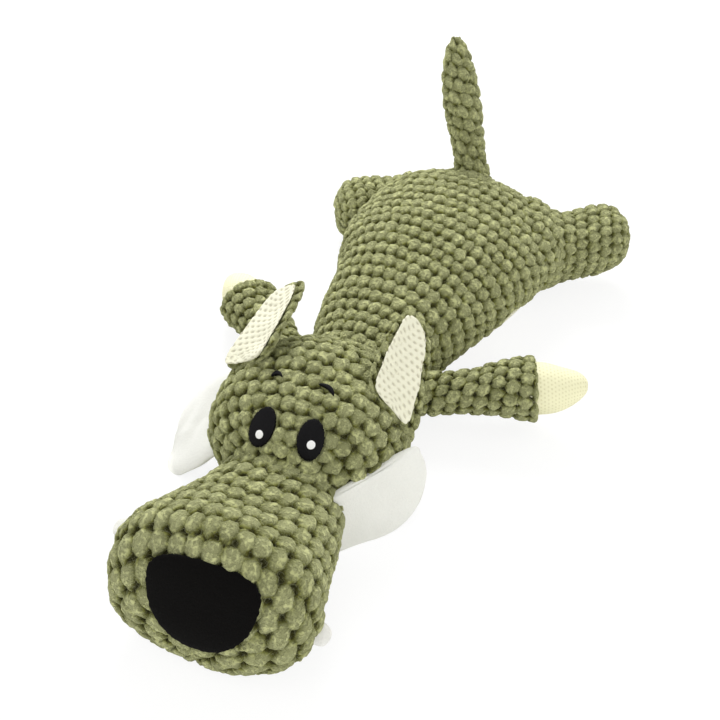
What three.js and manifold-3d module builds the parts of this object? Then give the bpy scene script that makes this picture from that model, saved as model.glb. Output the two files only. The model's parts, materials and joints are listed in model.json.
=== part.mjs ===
// Stuffed plush dog toy that lies on its belly, built as the sewn covers, paddings,
// squeaker and trims that it is made of. Millimetres, +Z up, nose towards -Y, the dog's
// left side at +X. The origin is the middle of the flat patch of belly that it rests on.
import * as THREE from 'three';
import { mergeVertices } from 'three/addons/utils/BufferGeometryUtils.js';
import Module from 'manifold-3d';

const wasm = await Module();
wasm.setup();

const degree = Math.PI / 180;

// Cloth, seams and running clearances
const coverWall = 3;          // bobble plush, its backing and pile together
const meshWall = 1.4;         // cream open mesh of the paws and the ear linings
const seamGap = 0.3;          // between two pieces that are sewn or packed together
const swingGap = 0.3;         // between a seat and the round root that turns in it
const sweepGap = 0.7;         // between the torso's skin and a limb that sweeps past it
const restFlat = 0.5;         // how deep the floor flattens a form that lies on it
const cutOver = 12;           // how far a cutting tool runs past what it cuts
const hugeSpan = 900;         // a block wider than the whole toy

// How finely forms are worked out
const bisections = 40;        // when a place on a form is looked for
const tinyStep = 1e-3;        // between neighbouring places or angles, for a direction
const rootAngles = [0, 30, 60, 90];   // degrees round a limb's ball where it has its rings
const flapColumns = 6;        // across an ear or a ruff
const seatSides = 20;         // of the round seats that the limbs turn in
const wideSwingSteps = 5;     // turns at which a flap is cut clear of the form that carries it
const limbSwingSteps = 14;

// Torso: [along, half width, top, underside] as shares of its length, half width and height
const torso = {
  length: 222,
  halfWidth: 70,
  height: 83,
  start: -121,                // neck end, in front of the origin
  direction: 1,
  sink: restFlat,
  midShare: 0.42,
  squareness: 2.2,
  sides: 20,
  innerSides: 14,
  stepsPerShare: 1.2,
};
const torsoShares = [
  [0.000, 0.00, 0.33, 0.33],
  [0.012, 0.30, 0.49, 0.17],
  [0.055, 0.47, 0.59, 0.07],
  [0.120, 0.53, 0.63, 0.03],
  [0.250, 0.63, 0.72, 0.00],
  [0.400, 0.78, 0.85, 0.00],
  [0.540, 0.93, 0.96, 0.00],
  [0.680, 1.00, 1.00, 0.00],
  [0.800, 0.97, 1.00, 0.00],
  [0.900, 0.78, 0.92, 0.04],
  [0.970, 0.47, 0.77, 0.17],
  [1.000, 0.00, 0.46, 0.46],
];
const belly = {
  widthShare: 0.86,             // of the torso's half width
  frontShare: 0.20,             // of the torso's length
  backShare: 0.93,
  rimShare: 0.40,               // of the torso's height, above the panel's highest edge
  steps: 14,                    // along each edge of the panel
  squareness: 8,                // how abruptly the panel's ends close
};

// Neck joint: the torso's end turns in a seat in the back of the head, about the X axis
const neck = {
  y: -97,
  z: 27,
  halfWidth: 38,
  radius: 23.5,
  sides: 20,
  rings: 8,
};
const headTurn = 8.4 * degree;    // the head looks a little to the dog's left

// Head, measured forwards from the neck's pivot
const head = {
  length: 101,
  halfWidth: 57,
  height: 77.5,
  start: -15,
  direction: -1,
  sink: -1.5,
  midShare: 0.46,
  squareness: 2.15,
  sides: 18,
  innerSides: 12,
  stepsPerShare: 1.25,
};
const headShares = [
  [0.00, 0.00, 0.50, 0.50],
  [0.03, 0.42, 0.74, 0.24],
  [0.14, 0.74, 0.90, 0.09],
  [0.34, 0.94, 1.00, 0.01],
  [0.56, 1.00, 0.99, 0.00],
  [0.76, 0.92, 0.90, 0.02],
  [0.91, 0.68, 0.76, 0.09],
  [0.985, 0.34, 0.62, 0.24],
  [1.00, 0.00, 0.44, 0.44],
];

// Snout: flares from below the eyes to the blunt front
const snout = {
  length: 143,
  halfWidth: 55,
  height: 77,
  start: -74,
  direction: -1,
  sink: restFlat,
  midShare: 0.47,
  squareness: 2.15,
  sides: 20,
  innerSides: 12,
  stepsPerShare: 1.25,
};
const snoutShares = [
  [0.00, 0.00, 0.30, 0.30],
  [0.05, 0.44, 0.48, 0.12],
  [0.22, 0.67, 0.60, 0.02],
  [0.44, 0.80, 0.74, 0.00],
  [0.62, 0.92, 0.90, 0.00],
  [0.77, 1.00, 1.00, 0.00],
  [0.88, 0.97, 0.85, 0.00],
  [0.95, 0.81, 0.62, 0.03],
  [0.99, 0.46, 0.44, 0.13],
  [1.00, 0.00, 0.28, 0.28],
];

// Velour nose: a rounded triangle, wide at the top, on the front of the snout
const nose = {
  halfWidth: 30.3,
  height: 49,
  thickness: 2.4,
  z: 45,
  tilt: 24 * degree,            // how far the patch looks up
  side: 4,                      // sewn a little to the dog's left
  alongShare: 0.94,             // of the snout's length
  narrowingShare: 0.26,         // of the half width, from the middle to the top or bottom
  waistShare: 0.4,              // of the half height, where the outline has its full width
  squareness: 2.5,
  sides: 18,
};

// Embroidered eyes and brows
const eye = {
  halfWidth: 7.1,
  halfHeight: 10.6,
  thickness: 1.2,
  spread: 14,                   // from the middle between the eyes
  side: 1.2,                    // the eyes' middle, to the dog's left
  forward: 104,                 // from the neck's pivot
  z: 62,
  tilt: 28 * degree,
  lean: 8 * degree,
  sides: 14,
};
const glint = {
  radius: 2.4,
  thickness: 0.6,
  side: 0.8,                    // of both, from the eyes' middles, to the dog's left
  lift: -2,
  sides: 8,
};
const brow = {
  length: 12,
  width: 1.6,
  thickness: 0.9,
  spread: 15.5,
  forward: 76,
  tilt: 60 * degree,
  arch: 8,                      // radius over half length of the stitched arc
  steps: 5,
};

// Ears: bobble plush backs with mesh linings, laid back along the head
const ear = {
  length: 48,
  baseHalfWidth: 17,
  backThickness: 3.4,
  liningInset: 1.5,
  cup: 4,
  forward: 60,
  aroundLeft: 40 * degree,      // up from the head's widest line
  aroundRight: 50 * degree,
  riseLeft: 29 * degree,        // of the laid back ears, from level
  riseRight: 25 * degree,
  leanLeft: 0 * degree,         // of the laid back ears, towards the head's middle
  leanRight: 6 * degree,
  rootDepth: 8,
};
const earWidthShares = [1, 1.02, 0.98, 0.88, 0.70, 0.46, 0.2];

// Cheek ruffs: padded fleece flaps that hang from the cheeks
const ruff = {
  length: 32,
  halfWidthLeft: 38,
  halfWidthRight: 30,           // its ends are tucked under the cheek
  rim: 2.4,
  crown: 5,
  forwardLeft: 100,
  forwardRight: 75,
  aroundLeft: -10 * degree,
  aroundRight: -10 * degree,
  rootDepth: 8,
  hangLeft: 80 * degree,        // below level
  hangRight: 38 * degree,
  slantLeft: 16 * degree,       // of the flap's length, towards the nose
  slantRight: 14 * degree,
  dipLeft: 12 * degree,         // of the root line, downwards to the front
  dipRight: 28 * degree,
};
const ruffWidthShares = [0.86, 0.96, 1.0, 0.98, 0.88, 0.62];

// Felt teeth at the sides of the mouth
const tooth = {
  length: 8,
  halfWidth: 6.5,
  rim: 3,
  crown: 0.8,
  forwardLeft: 188,
  forwardRight: 178,
  aroundLeft: -16 * degree,
  aroundRight: 9 * degree,
  hangLeft: 28 * degree,
  hangRight: 0 * degree,
  rootDepth: 5,
};
const toothWidthShares = [1, 1, 0.96, 0.8, 0.45];

// Limbs: [along, radius] as shares of length and radius, from the round root outwards
const foreleg = {
  length: 70,
  radius: 19.5,
  rootRadius: 12.5,
  yLeft: -92,
  yRight: -102,
  zLeft: 22,                    // height of the seat on the torso's skin
  zRight: 22,
  sweepLeft: 27 * degree,       // backwards from square to the body
  sweepRight: 33 * degree,
  liftLeft: 5.5 * degree,       // upwards from level
  liftRight: -1.5 * degree,
  sides: 12,
  innerSides: 8,
};
const forelegShares = [
  [0.60, 0.80],
  [0.80, 0.94],
  [0.93, 1.00],
  [0.985, 0.86],
  [1.00, 0.00],
];
const paw = {
  start: 50,
  length: 50,
  radius: 16.1,
  tuck: 10,                     // from the form's round start to the rim inside the cuff
};
const pawShares = [
  [0.00, 0.00],
  [0.02, 0.55],
  [0.12, 0.96],
  [0.46, 1.00],
  [0.68, 0.86],
  [0.88, 0.56],
  [0.98, 0.26],
  [1.00, 0.00],
];
const hindLeg = {
  length: 47,
  radius: 24,
  rootRadius: 22.5,
  yLeft: 79,
  yRight: 76,
  zLeft: 32,
  zRight: 28.5,                 // the hips lie a little turned
  sweepLeft: 34 * degree,
  sweepRight: -44 * degree,
  liftLeft: 5 * degree,
  liftRight: -2 * degree,
  sides: 12,
  innerSides: 8,
};
const hindLegShares = [
  [0.38, 0.96],
  [0.62, 1.00],
  [0.84, 0.82],
  [0.96, 0.46],
  [1.00, 0.00],
];
const tail = {
  length: 88,
  radius: 12.2,
  rootRadius: 11,
  yLeft: 88,
  around: 102 * degree,         // a little off the middle seam, to the right
  lean: 14 * degree,            // backwards from upright
  sway: 18 * degree,            // towards the dog's right
  sides: 10,
  innerSides: 8,
};
const tailShares = [
  [0.22, 0.90],
  [0.42, 1.00],
  [0.64, 0.94],
  [0.84, 0.70],
  [0.96, 0.38],
  [1.00, 0.00],
];
const rootOpeningShare = 0.55;  // opening of a limb cover's root, of its radius
const standOffShare = 0.72;     // height of a limb's pivot off the torso, of its root radius

// Squeaker: a round bladder with a reed plug in its mouth, between the two paddings
const squeaker = {
  radius: 19,
  height: 26,
  wall: 1.2,
  mouthRadius: 5.5,
  mouthLength: 4,
  reedBore: 1.5,
  reedFlange: 1.4,
  y: 14,
  z: 42,
  squareness: 2.5,
  closing: 150 * degree,        // round the bladder from its crown to its mouth
  arcSteps: 7,
  sides: 16,
};

// Joint ranges, from rest
const swings = {
  neck: [-20 * degree, 20 * degree],
  ear: [-10 * degree, 70 * degree],
  ruff: [-30 * degree, 30 * degree],
  tail: [-55 * degree, 25 * degree],
};
// How far each pair of legs swings, as sweeps from square to the body: forwards, backwards
const sweepLimits = {
  foreleg: [-13 * degree, 45 * degree],
  hindLeg: [-52 * degree, 60 * degree],
};

const finishes = {
  bobblePlush: { color: '#9c9e6d', roughness: 0.95 },
  creamMesh: { color: '#eeecd0', roughness: 0.9 },
  whiteFleece: { color: '#ecece6', roughness: 0.95 },
  whiteFelt: { color: '#f2f1ea', roughness: 0.9 },
  blackVelour: { color: '#0e0d0d', roughness: 0.9 },
  blackThread: { color: '#131214', roughness: 0.6 },
  whiteThread: { color: '#f7f7f5', roughness: 0.6 },
  fibreFill: { color: '#f4f4f1', roughness: 1 },
  squeakerPlastic: { color: '#e9e6dc', roughness: 0.45 },
};

// A row of shares, mirrored over the axis past either pole so that forms close roundly.
function shareRow(shares, index) {
  const last = shares.length - 1;
  if (index >= 0 && index <= last) return shares[index];
  const [along, width, top, under] = shares[index < 0 ? -index : 2 * last - index];
  return [along, -width, under, top];
}

// Smooth row of shares at place t, by a spline through the rows.
function blendShares(shares, t) {
  const k = Math.min(Math.floor(t), shares.length - 2);
  const f = t - k;
  const rows = [k - 1, k, k + 1, k + 2].map((index) => shareRow(shares, index));
  return rows[1].map((value, column) => {
    const [p, q, r, s] = rows.map((row) => row[column]);
    const bend = 2 * p - 5 * q + 4 * r - s;
    const twist = 3 * q - p - 3 * r + s;
    return (2 * q + (r - p) * f + bend * f * f + twist * f * f * f) / 2;
  });
}

// Meridian of a form at place t: y, half width, top and underside, moved out by offset.
function meridian(form, shares, t, offset) {
  const read = (place) => {
    const [along, width, top, under] = blendShares(shares, place);
    return {
      y: along * form.length,
      width: width * form.halfWidth,
      top: top * form.height - form.sink,
      under: under * form.height - form.sink,
    };
  };
  const last = shares.length - 1;
  const [a, b] = [read(Math.max(t - tinyStep, 0)), read(Math.min(t + tinyStep, last))];
  const radial = (m) => (m.width + (m.top - m.under) / 2) / 2;
  const slope = new THREE.Vector2(b.y - a.y, radial(b) - radial(a)).normalize();
  const m = read(t);
  return {
    y: form.start + form.direction * (m.y - offset * slope.y),
    width: Math.max(m.width + offset * slope.x, 0),
    top: m.top + offset * slope.x,
    under: m.under - offset * slope.x,
  };
}

// Point of a form's skin at place t and at an angle around it, from +X towards +Z.
function skinPoint(form, shares, t, angle, offset = 0) {
  const m = meridian(form, shares, t, offset);
  const middle = m.under + (m.top - m.under) * form.midShare;
  const rounded = (value) => Math.sign(value) * Math.abs(value) ** (2 / form.squareness);
  const rise = Math.sin(angle) > 0 ? m.top - middle : middle - m.under;
  return new THREE.Vector3(m.width * rounded(Math.cos(angle)), m.y, middle + rise * rounded(Math.sin(angle)));
}

// Place t where a form has reached a share of its length.
function placeAlong(shares, share) {
  let [low, high] = [0, shares.length - 1];
  for (let step = 0; step < bisections; step += 1) {
    const middle = (low + high) / 2;
    if (blendShares(shares, middle)[0] < share) low = middle;
    else high = middle;
  }
  return (low + high) / 2;
}

// Outward direction of a form's skin.
function skinNormal(form, shares, t, angle) {
  const past = skinPoint(form, shares, t, angle + tinyStep);
  const round = past.sub(skinPoint(form, shares, t, angle - tinyStep));
  return round.cross(skinAlong(form, shares, t, angle)).multiplyScalar(-form.direction).normalize();
}

// Direction along a form's skin, from its start to its end.
function skinAlong(form, shares, t, angle) {
  const ahead = skinPoint(form, shares, t + tinyStep, angle);
  return ahead.sub(skinPoint(form, shares, t - tinyStep, angle)).normalize();
}

// Closed body from rings of points between two poles, with its faces turned outwards.
function ringBody(firstPole, rings, lastPole) {
  const sides = rings[0].length;
  const points = [firstPole, ...rings.flat(), lastPole];
  const faces = [];
  const at = (ring, side) => 1 + ring * sides + (side % sides);
  for (let side = 0; side < sides; side += 1) {
    faces.push([0, at(0, side + 1), at(0, side)]);
    faces.push([points.length - 1, at(rings.length - 1, side), at(rings.length - 1, side + 1)]);
    for (let ring = 0; ring < rings.length - 1; ring += 1) {
      faces.push([at(ring, side), at(ring, side + 1), at(ring + 1, side)]);
      faces.push([at(ring, side + 1), at(ring + 1, side + 1), at(ring + 1, side)]);
    }
  }
  return facedOut(points, faces);
}

// Geometry of a closed triangle body, its triangles reversed if they face inwards.
function facedOut(points, faces) {
  const volume = faces.reduce((sum, [a, b, c]) => {
    const normal = new THREE.Vector3().crossVectors(points[b], points[c]);
    return sum + points[a].dot(normal);
  }, 0);
  const turned = volume < 0 ? faces.map(([a, b, c]) => [a, c, b]) : faces;
  const geometry = new THREE.BufferGeometry();
  geometry.setAttribute('position', new THREE.Float32BufferAttribute(points.flatMap((p) => p.toArray()), 3));
  geometry.setIndex(turned.flat());
  return geometry;
}

// Swelling and tapering stuffed form, its skin moved out by offset. A skin inside a cover
// has fewer sides.
function stuffedForm(shape, shares, offset = 0) {
  const form = offset <= -meshWall ? { ...shape, sides: shape.innerSides, stepsPerShare: 1 } : shape;
  const last = shares.length - 1;
  const count = Math.round(last * form.stepsPerShare);
  const ring = (t) => Array.from({ length: form.sides }, (_, side) => {
    return skinPoint(form, shares, t, (2 * Math.PI * side) / form.sides, offset);
  });
  const rings = Array.from({ length: count - 1 }, (_, index) => ring((last * (index + 1)) / count));
  return ringBody(skinPoint(form, shares, 0, 0, offset), rings, skinPoint(form, shares, last, 0, offset));
}

// Solid of a geometry, for cutting and joining.
function solidOf(geometry) {
  const bare = geometry.clone();
  bare.deleteAttribute('normal');
  bare.deleteAttribute('uv');
  const merged = mergeVertices(bare);
  const mesh = new wasm.Mesh({
    numProp: 3,
    vertProperties: new Float32Array(merged.attributes.position.array),
    triVerts: new Uint32Array(merged.index.array),
  });
  return new wasm.Manifold(mesh);
}

// Geometry of a solid that was cut or joined.
function geometryOf(solid) {
  const mesh = solid.getMesh();
  const geometry = new THREE.BufferGeometry();
  geometry.setAttribute('position', new THREE.BufferAttribute(new Float32Array(mesh.vertProperties), 3));
  geometry.setIndex(new THREE.BufferAttribute(new Uint32Array(mesh.triVerts), 1));
  return geometry;
}

const toy = new THREE.Group();
const headGroup = new THREE.Group();
headGroup.position.set(0, neck.y, 0);
headGroup.rotation.z = headTurn;
toy.add(headGroup);
headGroup.updateMatrix();

// Joints of the toy, kept with it: pivot and axis in the toy's frame, range from rest.
toy.userData.joints = [];

function addJoint(name, group, pivot, axis, range) {
  const direction = axis.clone().transformDirection(group.matrix);
  toy.userData.joints.push({ name, pivot: pivot.clone().applyMatrix4(group.matrix), axis: direction, range });
}

function addPiece(group, name, finish, solid) {
  const { color, roughness } = finishes[finish];
  const material = new THREE.MeshStandardMaterial({ color, roughness, metalness: 0 });
  const mesh = new THREE.Mesh(geometryOf(solid), material);
  mesh.name = name;
  group.add(mesh);
}

function boxSolid(low, high) {
  const size = new THREE.Vector3().subVectors(high, low);
  const box = new THREE.BoxGeometry(size.x, size.y, size.z);
  box.translate(...new THREE.Vector3().addVectors(low, high).divideScalar(2).toArray());
  return solidOf(box);
}

const belowFloor = boxSolid(
  new THREE.Vector3(-hugeSpan, -hugeSpan, -hugeSpan),
  new THREE.Vector3(hugeSpan, hugeSpan, 0),
);

// Ellipsoid whose cross sections square to X are true circles, so that it turns in its seat.
function neckBall(offset) {
  const ball = new THREE.SphereGeometry(1, neck.sides, neck.rings);
  ball.rotateZ(Math.PI / 2);
  ball.scale(neck.halfWidth + offset, neck.radius + offset, neck.radius + offset);
  ball.translate(0, neck.y, neck.z);
  return ball;
}

// Torso with its round neck end, the skin moved out by offset.
function torsoSkin(offset) {
  const beforeNeck = boxSolid(
    new THREE.Vector3(-hugeSpan, -hugeSpan, -hugeSpan),
    new THREE.Vector3(hugeSpan, neck.y, hugeSpan),
  );
  return solidOf(stuffedForm(torso, torsoShares, offset)).subtract(beforeNeck).add(solidOf(neckBall(offset)));
}

function ballAt(centre, radius, sides) {
  const ball = new THREE.SphereGeometry(radius, sides, Math.ceil(sides / 2));
  ball.translate(...centre.toArray());
  return ball;
}

// What a swinging piece has to keep clear of: the parent's solid, turned the opposite way
// about the hinge, at rest and at steps of the swing.
function cutForSwing(piece, keepOut, pivot, axis, range, steps) {
  let cut = piece;
  const turn = (step) => range[0] + ((range[1] - range[0]) * step) / steps;
  const turns = Array.from({ length: steps + 1 }, (_, step) => turn(step));
  for (const angle of [0, ...turns]) {
    const turned = new THREE.Matrix4().makeTranslation(...pivot.toArray())
      .multiply(new THREE.Matrix4().makeRotationAxis(axis, -angle))
      .multiply(new THREE.Matrix4().makeTranslation(...pivot.clone().negate().toArray()));
    cut = cut.subtract(solidOf(keepOut.clone().applyMatrix4(turned)));
  }
  return cut;
}

// Limb with a round root, as a form along +Y from its pivot.
function limbForm(limb) {
  return {
    length: limb.length + limb.rootRadius,
    halfWidth: 1,
    height: 1,
    start: -limb.rootRadius,
    direction: 1,
    sink: 0,
    midShare: 0.5,
    squareness: 2,
    sides: limb.sides,
    innerSides: limb.innerSides,
    stepsPerShare: 1,
  };
}

// Rows of a limb's form: a ball about the pivot that runs on into the limb's own shares.
function limbShares(limb, shares) {
  const total = limb.length + limb.rootRadius;
  const ball = rootAngles.map((angle) => [
    (limb.rootRadius * (1 - Math.cos(angle * degree))) / total,
    limb.rootRadius * Math.sin(angle * degree),
  ]);
  const rest = shares.map(([along, radius]) => [
    (limb.rootRadius + along * limb.length) / total,
    radius * limb.radius,
  ]);
  return [...ball, ...rest].map(([along, radius]) => [along, radius, radius, -radius]);
}

function roundForm(piece, shares) {
  return shares.map(([along, share]) => {
    const radius = share * piece.radius;
    return [along, radius, radius, -radius];
  });
}

// Pivot of a limb: off the torso's skin by its stand-off, on the line of the skin's normal.
function limbPivot(limb, side) {
  const [y, z] = side > 0 ? [limb.yLeft, limb.zLeft] : [limb.yRight, limb.zRight];
  const t = placeAlong(torsoShares, (y - torso.start) / torso.length);
  const angle = limb.around ?? angleAtHeight(t, z);
  const around = side > 0 ? angle : Math.PI - angle;
  const normal = skinNormal(torso, torsoShares, t, around);
  return skinPoint(torso, torsoShares, t, around).addScaledVector(normal, standOffShare * limb.rootRadius);
}

// Angle around the torso at which its skin has a height, at place t.
function angleAtHeight(t, z) {
  let [low, high] = [-Math.PI / 2, Math.PI / 2];
  for (let step = 0; step < bisections; step += 1) {
    const middle = (low + high) / 2;
    if (skinPoint(torso, torsoShares, t, middle).z < z) low = middle;
    else high = middle;
  }
  return (low + high) / 2;
}

// Rest direction of a leg, from its sweep and lift.
function limbDirection(limb, side) {
  const sweep = side > 0 ? limb.sweepLeft : limb.sweepRight;
  const lift = side > 0 ? limb.liftLeft : limb.liftRight;
  const level = Math.cos(lift);
  return new THREE.Vector3(side * level * Math.cos(sweep), level * Math.sin(sweep), Math.sin(lift));
}

// Range of a leg's swing from rest, forwards being positive.
function swingRange(limb, [forwards, backwards], side) {
  const sweep = side > 0 ? limb.sweepLeft : limb.sweepRight;
  return [sweep - backwards, sweep - forwards];
}

// Round seat that clears a limb's ball at every turn, also between its own corners.
function limbSeat(pivot, limb) {
  const corner = Math.cos(Math.PI / seatSides) ** 2;
  return solidOf(ballAt(pivot, (limb.rootRadius + swingGap) / corner, seatSides));
}

const limbs = [];
for (const [side, word] of [[1, 'left'], [-1, 'right']]) {
  limbs.push({
    name: `foreleg_${word}`,
    limb: foreleg,
    shares: forelegShares,
    pivot: limbPivot(foreleg, side),
    direction: limbDirection(foreleg, side),
    axis: new THREE.Vector3(0, 0, -side),
    range: swingRange(foreleg, sweepLimits.foreleg, side),
    paw: true,
  });
  limbs.push({
    name: `hind_leg_${word}`,
    limb: hindLeg,
    shares: hindLegShares,
    pivot: limbPivot(hindLeg, side),
    direction: limbDirection(hindLeg, side),
    axis: new THREE.Vector3(0, 0, -side),
    range: swingRange(hindLeg, sweepLimits.hindLeg, side),
  });
}
limbs.push({
  name: 'tail',
  limb: tail,
  shares: tailShares,
  pivot: limbPivot(tail, 1),
  direction: new THREE.Vector3(-Math.tan(tail.sway), Math.tan(tail.lean), 1).normalize(),
  axis: new THREE.Vector3(1, 0, 0),
  range: swings.tail,
});
for (const entry of limbs) {
  entry.group = new THREE.Group();
  entry.group.position.copy(entry.pivot);
  entry.group.quaternion.setFromUnitVectors(new THREE.Vector3(0, 1, 0), entry.direction);
  entry.group.updateMatrix();
  toy.add(entry.group);
}

function buildTorso() {
  const outer = torsoSkin(0).subtract(belowFloor);
  const inner = torsoSkin(-coverWall);
  const packed = torsoSkin(-coverWall - seamGap);
  const shell = outer.subtract(inner);
  const seats = limbs
    .map((entry) => limbSeat(entry.pivot, entry.limb))
    .reduce((all, seat) => all.add(seat));
  addPiece(toy, 'body_cover', 'bobblePlush', shell.subtract(bellyPrism(seamGap / 2)).subtract(seats));
  addPiece(toy, 'belly_panel', 'creamMesh', shell.intersect(bellyPrism(-seamGap / 2)).subtract(seats));
  const filling = packed.subtract(seats).subtract(squeakerPocket());
  const split = (low, high) => boxSolid(
    new THREE.Vector3(-hugeSpan, -hugeSpan, low),
    new THREE.Vector3(hugeSpan, hugeSpan, high),
  );
  const lower = split(-hugeSpan, squeaker.z - seamGap / 2);
  const upper = split(squeaker.z + seamGap / 2, hugeSpan);
  addPiece(toy, 'body_filling_lower', 'fibreFill', filling.intersect(lower));
  addPiece(toy, 'body_filling_upper', 'fibreFill', filling.intersect(upper));
}

// Upright block over the plan outline of the belly panel.
function bellyPrism(offset) {
  const [front, back] = [belly.frontShare, belly.backShare].map((share) => placeAlong(torsoShares, share));
  const half = Array.from({ length: belly.steps + 1 }, (_, step) => {
    const t = front + ((back - front) * step) / belly.steps;
    const m = meridian(torso, torsoShares, t, 0);
    const closing = Math.sqrt(Math.max(1 - ((2 * step) / belly.steps - 1) ** belly.squareness, 0));
    return [m.width * belly.widthShare * closing + offset * Math.sign(closing), m.y];
  });
  half[0][1] -= offset;
  half[belly.steps][1] += offset;
  const outline = [...half, ...half.slice(1, -1).reverse().map(([x, y]) => [-x, y])];
  const shape = new THREE.Shape(outline.map(([x, y]) => new THREE.Vector2(x, y)));
  const depth = cutOver + torso.height * belly.rimShare;
  const prism = new THREE.ExtrudeGeometry(shape, { depth, bevelEnabled: false });
  prism.translate(0, 0, -cutOver);
  return solidOf(prism);
}

// Squeaker profile, [radius, height] from the crown down to the reed's mouth.
function bladderProfile(inset) {
  const { radius, height, mouthRadius, wall } = squeaker;
  const curve = Array.from({ length: squeaker.arcSteps }, (_, step) => {
    const angle = (step / squeaker.arcSteps) * squeaker.closing;
    const flat = (value) => Math.sign(value) * Math.abs(value) ** (2 / squeaker.squareness);
    return [(radius - inset) * flat(Math.sin(angle)), (height / 2 - inset) * flat(Math.cos(angle))];
  });
  return [...curve, [mouthRadius + wall - inset, -height / 2 + inset]];
}

// Closed body turned about the squeaker's axis from a profile that runs down its outside.
function revolved(profile) {
  const upwards = profile.map(([r, z]) => new THREE.Vector2(r, z)).reverse();
  const lathe = new THREE.LatheGeometry(upwards, squeaker.sides);
  lathe.rotateX(Math.PI / 2);
  lathe.translate(0, squeaker.y, squeaker.z);
  return solidOf(lathe);
}

function squeakerPocket() {
  const { mouthRadius, mouthLength, reedFlange, wall, height } = squeaker;
  const bottom = -height / 2 - mouthLength - reedFlange - 2 * seamGap;
  const reach = mouthRadius + wall + seamGap;
  return revolved([...bladderProfile(-seamGap), [reach, bottom], [0, bottom]]);
}

function buildSqueaker() {
  const { height, wall, mouthRadius, mouthLength, reedBore, reedFlange } = squeaker;
  const lip = -height / 2 - mouthLength;
  const outside = [...bladderProfile(0), [mouthRadius + wall, lip]];
  const inside = [...bladderProfile(wall), [mouthRadius, lip]].reverse();
  addPiece(toy, 'squeaker_bladder', 'squeakerPlastic', revolved([...outside, ...inside]));
  const top = -height / 2 + wall;
  const under = lip - seamGap;
  const plug = mouthRadius - seamGap;
  const reed = [
    [reedBore, top],
    [plug, top],
    [plug, under],
    [mouthRadius + wall, under],
    [mouthRadius + wall, under - reedFlange],
    [reedBore, under - reedFlange],
    [reedBore, top],
  ];
  addPiece(toy, 'squeaker_reed', 'squeakerPlastic', revolved(reed));
}

// Cover and padding of a limb, cut clear of the torso over the whole swing.
function buildLimb({ name, limb, shares, pivot, group, axis, range, paw: hasPaw }) {
  const form = limbForm(limb);
  const rows = limbShares(limb, shares);
  const toTorso = (geometry) => geometry.clone().applyMatrix4(group.matrix);
  const home = group.matrix.clone().invert();
  const body = solidOf(stuffedForm(torso, torsoShares, sweepGap));
  const keepOut = geometryOf(body.subtract(limbSeat(pivot, limb)));
  const finish = (pieceName, colour, solid) => {
    const cut = cutForSwing(solid, keepOut, pivot, axis, range, limbSwingSteps);
    const local = geometryOf(cut).applyMatrix4(home);
    addPiece(group, pieceName, colour, solidOf(local));
  };
  const placed = (piece, pieceRows, offset) => solidOf(toTorso(stuffedForm(piece, pieceRows, offset)));
  const rootOpening = new THREE.CylinderGeometry(
    limb.rootRadius * rootOpeningShare,
    limb.rootRadius * rootOpeningShare,
    limb.rootRadius,
    limb.sides,
  );
  rootOpening.translate(0, -limb.rootRadius, 0);
  let cover = placed(form, rows, 0)
    .subtract(placed(form, rows, -coverWall))
    .subtract(solidOf(toTorso(rootOpening)));
  let filling = placed(form, rows, -coverWall - seamGap);
  if (hasPaw) {
    const pawForm = { ...limbForm(limb), start: paw.start, length: paw.length };
    const pawRows = roundForm(paw, pawShares);
    const before = (reach) => {
      const block = new THREE.BoxGeometry(hugeSpan, hugeSpan, hugeSpan);
      block.translate(0, reach - hugeSpan / 2, 0);
      return solidOf(toTorso(block));
    };
    const pawRim = paw.start + paw.tuck;
    cover = cover.subtract(placed(pawForm, pawRows, seamGap));
    const pawCover = placed(pawForm, pawRows, 0)
      .subtract(placed(pawForm, pawRows, -meshWall))
      .subtract(before(pawRim));
    finish(name.replace('leg', 'paw'), 'creamMesh', pawCover);
    filling = filling.intersect(before(pawRim - seamGap)).add(placed(pawForm, pawRows, -meshWall - seamGap));
  }
  finish(name, 'bobblePlush', cover);
  finish(`${name}_filling`, 'fibreFill', filling);
}

buildTorso();
buildSqueaker();
for (const entry of limbs) {
  buildLimb(entry);
  addJoint(`${entry.name}_swing`, toy, entry.pivot, entry.axis, entry.range);
}

// The head's pieces keep clear of the torso, the neck's round end and the forelegs' roots
// over the whole nod.
function clearOfNeck(solid) {
  const inHead = headGroup.matrix.clone().invert();
  const body = solidOf(stuffedForm(torso, torsoShares, seamGap));
  const shoulders = limbs
    .filter((entry) => entry.limb === foreleg)
    .reduce((all, { pivot, limb }) => all.add(limbSeat(pivot, limb)), body);
  const beforeNeck = boxSolid(
    new THREE.Vector3(-hugeSpan, -hugeSpan, -hugeSpan),
    new THREE.Vector3(hugeSpan, neck.y - foreleg.rootRadius, hugeSpan),
  );
  const keepOut = geometryOf(shoulders.subtract(beforeNeck)).applyMatrix4(inHead);
  const seated = solid.subtract(solidOf(neckBall(swingGap).applyMatrix4(inHead)));
  const pivot = new THREE.Vector3(0, neck.y, neck.z).applyMatrix4(inHead);
  const axis = new THREE.Vector3(1, 0, 0).transformDirection(inHead);
  return cutForSwing(seated, keepOut, pivot, axis, swings.neck, limbSwingSteps);
}

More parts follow.
